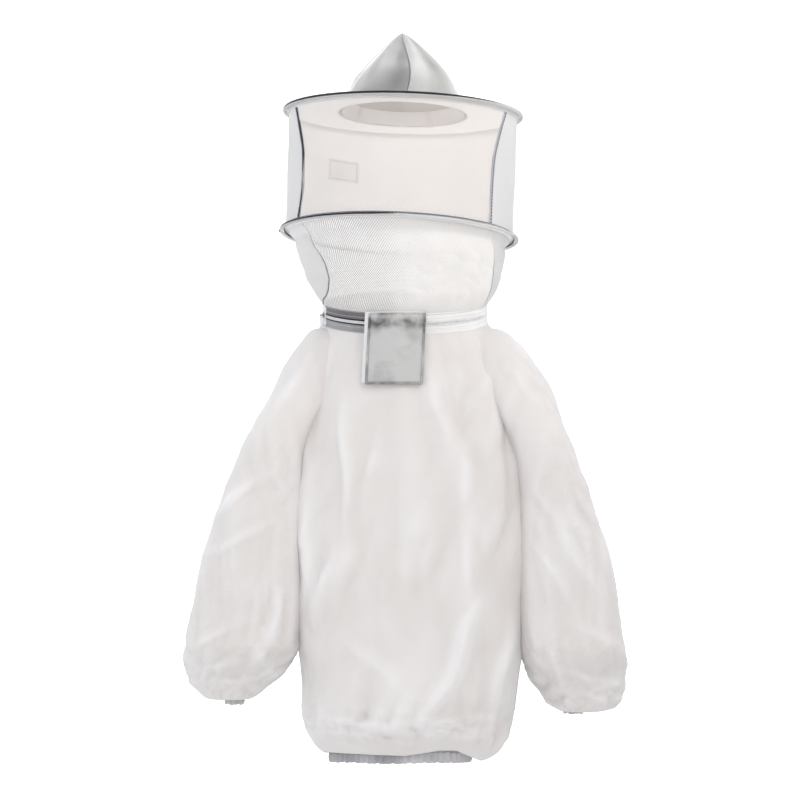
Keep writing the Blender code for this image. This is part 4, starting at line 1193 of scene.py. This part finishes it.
def build_teeth(side, sign, body):
    """One row of moulded teeth on the tape's corded edge, half a pitch along from the other row's."""
    angles = np.arange(ZIP_SPAN[0] + 0.5, ZIP_SPAN[1] - 0.5, math.degrees(TOOTH_PITCH / NECK_R))
    half = math.degrees(0.00105 / NECK_R)
    verts, faces = [], []
    if sign < 0:
        angles = angles[:-1] + math.degrees(TOOTH_PITCH / 2 / NECK_R)
    for angle in angles:
        base = len(verts)
        for height, deep, wide in ((0.0034, 0.0010, 0.8), (0.0014, 0.0014, 1.0), (0.0003, 0.0011, 0.75)):
            for out, aside in ((-1, -1), (-1, 1), (1, 1), (1, -1)):
                verts.append(neck_point(out * deep, angle + aside * wide * half, sign * height))
        for ring in range(2):
            for k in range(4):
                a, b = base + 4 * ring + k, base + 4 * ring + (k + 1) % 4
                faces.append((a, b, b + 4, a + 4) if sign > 0 else (b, a, a + 4, b + 4))
        caps = (base, base + 1, base + 2, base + 3), (base + 11, base + 10, base + 9, base + 8)
        faces += [cap[::-1] if sign > 0 else cap for cap in caps]
    finish(mesh_piece(f"zip_{side}_teeth", verts, faces), MAT["teeth"], body, f"zip_teeth_{side}",
           slot="zip_teeth")


def prism(name, outline, depth, origin, across, up, out, bevel=0.0003, hole=None):
    """A plate with a drawn outline, (across, up) pairs in metres, depth thick along out from its origin."""
    count = len(outline)
    rings = [outline] + ([hole] if hole else [])
    verts, faces = [], []
    for level in (0.0, depth):
        for ring in rings:
            verts += [origin + across * a + up * b + out * level for a, b in ring]
    step = sum(len(ring) for ring in rings)
    for k in range(count):
        j = (k + 1) % count
        faces.append((k, j, j + step, k + step))
        if hole:
            a, b = count + k, count + j
            faces.append((b, a, a + step, b + step))
            faces.append((j, k, a, b))
            faces.append((k + step, j + step, b + step, a + step))
    if not hole:
        faces.append(tuple(range(count))[::-1])
        faces.append(tuple(range(step, step + count)))
    obj = mesh_piece(name, verts, faces)
    obj.data.uv_layers.new(name="cloth")
    modifier = obj.modifiers.new("soft edges", "BEVEL")
    modifier.width = bevel
    modifier.segments = 2
    modifier.angle_limit = 0.6
    obj.data.shade_smooth()
    return obj


def join(name, pieces):
    """One mesh out of several, with their modifiers applied."""
    graph = bpy.context.evaluated_depsgraph_get()
    verts, faces = [], []
    for piece in pieces:
        shown = piece.evaluated_get(graph).to_mesh()
        base = len(verts)
        verts += [tuple(piece.matrix_world @ v.co) for v in shown.vertices]
        faces += [tuple(base + k for k in face.vertices) for face in shown.polygons]
        piece.evaluated_get(graph).to_mesh_clear()
        bpy.data.objects.remove(piece)
    obj = mesh_piece(name, verts, faces)
    obj.data.uv_layers.new(name="cloth")
    return obj


def build_slider():
    """The zip's slider, with the bridge over its pin, the pull and the stops at the zip's ends."""
    origin, across, up, out = neck_axes(SLIDER_ANGLE)
    lower = [(-0.0050, -0.0018), (-0.0046, -0.0034), (-0.0010, -0.0041), (0.0030, -0.0046),
             (0.0050, -0.0040), (0.0056, -0.0022)]
    shield = lower + [(0.0044, 0.0)] + [(a, -b) for a, b in lower[::-1]]
    pieces = [prism("slider_plate", shield, 0.0012, origin + out * 0.0020, across, up, out),
              prism("slider_back", shield, 0.0011, origin - out * 0.0037, across, up, out)]
    post = [(0.0024, -0.0008), (0.0040, -0.0008), (0.0040, 0.0008), (0.0024, 0.0008)]
    pieces.append(prism("slider_post", post, 0.0058, origin - out * 0.0032, across, up, out, 0.0002))
    # the bridge that the pull hangs from, bent over the pin
    reach = np.dot(PULL_PIN - origin, out)
    place = np.dot(PULL_PIN - origin, across)
    path = [(-0.0026, 0.0030), (-0.0022, reach + 0.0008), (-0.0008, reach + 0.0016), (0.0008, reach + 0.0016),
            (0.0022, reach + 0.0008), (0.0026, 0.0030)]
    inner = [(a * 0.62, b - 0.0009 if b > 0.004 else b) for a, b in path]
    pieces.append(prism("slider_bridge", path + inner[::-1], 0.0018, origin + across * place - up * 0.0009,
                        across, out, up, 0.0002))
    finish(join("zip_slider_metal", pieces), MAT["metal"], "slider", "zip_slider", slot="zip_metal")
    build_pull(up, out)
    build_stops()


def node_centre(node):
    low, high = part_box(node)
    return (np.array(low) + np.array(high)) / 2


def build_pull(up, out):
    """The enamelled pull; up and out are the slider's directions."""
    axis = np.array(JOINTS["pull_swing"]["axis"])
    hang = node_centre("zip_pull") - PULL_PIN
    length = 2 * np.linalg.norm(hang - axis * np.dot(hang, axis))
    # it lies forward along the tape, with its face turned to the front
    hang = -0.74 * axis - 0.60 * up + 0.06 * out
    hang /= np.linalg.norm(hang)
    face = np.array([0.0, -1.0, 0.0]) + 0.5 * out
    face -= hang * np.dot(face, hang)
    face /= np.linalg.norm(face)
    axis = np.cross(hang, face)
    turns = np.linspace(0, 2 * math.pi, 16, endpoint=False)
    ring = [(0.0028 * math.cos(t), 0.0024 * math.sin(t)) for t in turns]
    eye = [(0.0014 * math.cos(t), 0.0011 * math.sin(t)) for t in turns]
    parts = [prism("pull_eye", ring, 0.0012, PULL_PIN - face * 0.0006, axis, hang, face, 0.0002, eye)]
    top, end = 0.0016, length * 0.94
    tab = [(-0.0017, top), (0.0017, top), (0.0024, top + 0.0020), (0.0036, end * 0.55), (0.0039, end * 0.80),
           (0.0030, end * 0.96), (0.0012, end), (-0.0012, end), (-0.0030, end * 0.96), (-0.0039, end * 0.80),
           (-0.0036, end * 0.55), (-0.0024, top + 0.0020)]
    parts.append(prism("pull_tab", tab, 0.0014, PULL_PIN - face * 0.0007, axis, hang, face, 0.0004))
    inset = [(a * 0.55, top + (b - top) * 0.62 + end * 0.16) for a, b in tab]
    parts.append(prism("pull_raised", inset, 0.0019, PULL_PIN - face * 0.00095, axis, hang, face, 0.0003))
    finish(join("zip_pull_enamel", parts), MAT["pull"], "pull", "zip_pull", slot="pull_white")


def build_stops():
    block = [(-0.0012, -0.0030), (-0.0005, -0.0036), (0.0005, -0.0036), (0.0012, -0.0030), (0.0012, 0.0030),
             (0.0005, 0.0036), (-0.0005, 0.0036), (-0.0012, 0.0030)]
    for name in ("start", "end"):
        centre = node_centre(f"zip_stop_{name}")
        origin, across, up, out = neck_axes(math.degrees(math.atan2(centre[1], centre[0])))
        stop = prism(f"zip_stop_{name}_metal", block, 0.0034, origin - out * 0.0017, across, up, out, 0.0004)
        finish(stop, MAT["metal"], "jacket", f"zip_stop_{name}", slot="zip_metal")


# ---------------------------------------------------------------- flap


def flap_y(x, z, front):
    """How far forward the flap's cloth lies: bowed round the neck, and leaning back as it rises."""
    return front + 2.2 * x * x + 0.055 * (z - FLAP_LOW.z)


def flap_plate(name, x_range, z_range, front, thickness, material, body, node, slot, rows=40, skew=0.0,
               puff=0.0, seed=1.0):
    u = np.linspace(0, 1, 34)[None, :]
    v = np.linspace(0, 1, rows)[:, None]
    x = x_range[0] + (x_range[1] - x_range[0]) * u + skew * (1 - v)
    z = z_range[0] + (z_range[1] - z_range[0]) * v
    edge = np.clip(np.minimum(np.minimum(u, 1 - u) * 8, np.minimum(v, 1 - v) * 10), 0, 1)
    points = points_at(x, flap_y(x, z, front), z)
    crease = creased(points, 40, seed) * 0.0034 + creased(points, 110, seed + 3) * 0.0009
    points[..., 1] -= puff * np.sqrt(edge) + (crease if puff else 0.3 * crease) * edge
    plate = surface(name, points)
    fine(plate)
    thicken(plate, thickness)
    return finish(plate, material, body, node, slot=slot)


def build_flap():
    face = FLAP_LOW.y
    span = (FLAP_LOW.x - 0.0030, FLAP_HIGH.x - 0.0030)
    tall = (FLAP_LOW.z - 0.0028, FLAP_HIGH.z - 0.0022)
    front = flap_plate("flap_front_satin", span, tall, face + 0.0004, 0.0009, MAT["flap"], "flap",
                       "flap_front", "flap_satin", skew=FLAP_SKEW, puff=0.0006)
    back = flap_plate("flap_backing_cloth", (BACKING_LOW.x - 0.0005, BACKING_HIGH.x),
                      (BACKING_LOW.z, BACKING_HIGH.z), face + 0.0020, 0.0009, MAT["lining"], "flap",
                      "flap_backing", "flap_lining", skew=FLAP_SKEW, seed=2.0)
    for patch, low, high, front, look, body, seed in (
            ("hook_patch", HOOK_LOW, HOOK_HIGH, face + 0.0034, "hooks", "flap", 3.0),
            ("loop_patch", LOOP_LOW, LOOP_HIGH, face + 0.0048, "lining", "jacket", 4.0)):
        flap_plate(f"{patch}_cloth", (low.x, high.x), (low.z, high.z), front, 0.0008, MAT[look], body, patch,
                   "flap_lining", rows=14, seed=seed)
    # stitching down one side, along the foot and up the other
    inset = 0.0035
    low, high, foot, top = span[0] + inset, span[1] - inset, tall[0] + inset, tall[1]
    corners = [(low, top), (low, foot), (high, foot), (high, top)]
    flat = np.concatenate([np.linspace(corners[n], corners[n + 1], 30, endpoint=False) for n in range(3)])
    x, z = flat[:, 0] + FLAP_SKEW * (tall[1] - flat[:, 1]) / (tall[1] - tall[0]), flat[:, 1]
    path = points_at(x, flap_y(x, z, face) - 0.0010, z)
    stitches("flap_stitches", path, np.tile((0.0, -1.0, 0.0), (len(path), 1)), MAT["thread_dark"], "flap",
             pitch=0.0030, radius=0.0004)


# ---------------------------------------------------------------- camera, light, stage


def build_stage():
    scene = bpy.context.scene
    scene.view_settings.view_transform = "Standard"
    camera = bpy.data.objects.new("camera", bpy.data.cameras.new("camera"))
    scene.collection.objects.link(camera)
    camera.data.sensor_width = 36.0
    camera.data.lens = 36.0 * 4.0 / 1.288
    camera.location = (-0.008, -4.0, 0.38)
    aim = Vector((-0.008, 0.0, 0.5866)) - camera.location
    camera.rotation_euler = aim.to_track_quat("-Z", "Y").to_euler()
    camera.data.clip_end = 60
    scene.camera = camera

    world = bpy.data.worlds.new("studio")
    world.use_nodes = True
    world.node_tree.nodes["Background"].inputs[0].default_value = (0.985, 0.985, 1.0, 1)
    world.node_tree.nodes["Background"].inputs[1].default_value = 0.645
    scene.world = world

    def area(name, place, target, size, power, colour, spread=math.pi):
        light = bpy.data.lights.new(name, "AREA")
        light.shape = "RECTANGLE"
        light.size, light.size_y = size
        light.energy = power
        light.spread = spread
        light.color = colour
        obj = bpy.data.objects.new(name, light)
        obj.location = place
        obj.rotation_euler = (Vector(target) - Vector(place)).to_track_quat("-Z", "Y").to_euler()
        scene.collection.objects.link(obj)

    area("key", (1.1, -2.7, 2.9), (0, 0, 0.8), (1.8, 1.2), 26, (1.0, 0.97, 0.95))
    area("fill", (-0.4, -4.6, 0.7), (0, 0, 0.6), (1.6, 1.6), 26, (1.0, 0.985, 0.965))
    area("side_left", (-2.8, -1.3, 0.9), (0, 0, 0.55), (0.9, 1.8), 15, (0.84, 0.92, 1.0))
    area("side_right", (2.4, -1.1, 2.0), (0.05, 0, 1.08), (0.8, 0.8), 0.9, (1.0, 0.98, 0.95), 0.6)
    area("back", (0.0, 2.8, 2.2), (0, 0, 0.9), (1.6, 1.2), 14, (1.0, 0.99, 0.98))
    area("top", (0.0, 0.3, 4.0), (0, 0, 0.9), (1.2, 1.2), 26, (1.0, 0.99, 0.98))

    # floor and backdrop in one sheet, well below the hanging jacket
    floor_z, near, far, top = -0.9, -45.0, 5.0, 12.0
    bend = 2.0
    profile = [(near, floor_z), (far - bend, floor_z)]
    profile += [(far - bend + bend * math.sin(a), floor_z + bend - bend * math.cos(a))
                for a in np.linspace(0.1, math.pi / 2, 12)]
    profile.append((far, top))
    points = np.array([[(x, y, z) for x in (-45.0, 45.0)] for y, z in profile])
    sheet = surface("floor_and_backdrop", points)
    n = Nodes("studio_white")
    n.shader.inputs["Base Color"].default_value = (0.76, 0.76, 0.76, 1)
    n.shader.inputs["Roughness"].default_value = 0.9
    n.shader.inputs["Emission Color"].default_value = (1.0, 1.0, 0.99, 1)
    place = n.add("ShaderNodeNewGeometry")
    split = n.add("ShaderNodeSeparateXYZ")
    n.link(place.outputs["Position"], split.inputs[0])
    # the sheet glows where it rises above the floor
    rise = n.math("MINIMUM", n.math("MAXIMUM", n.math("ADD", split.outputs[2], 0.88), 0.0), 0.25)
    rise = n.math("MULTIPLY", rise, 3.2)
    n.link(rise, n.shader.inputs["Emission Strength"])
    sheet.data.materials.append(n.material)


# ---------------------------------------------------------------- make everything

build_stage()
build_body()
build_sleeve("left")
build_sleeve("right")
build_edges()
build_upper_hoop()
build_lower_hoop()
build_brim()
build_crown()
build_band()
build_veil()
build_bowl()
build_zip()
build_slider()
build_flap()
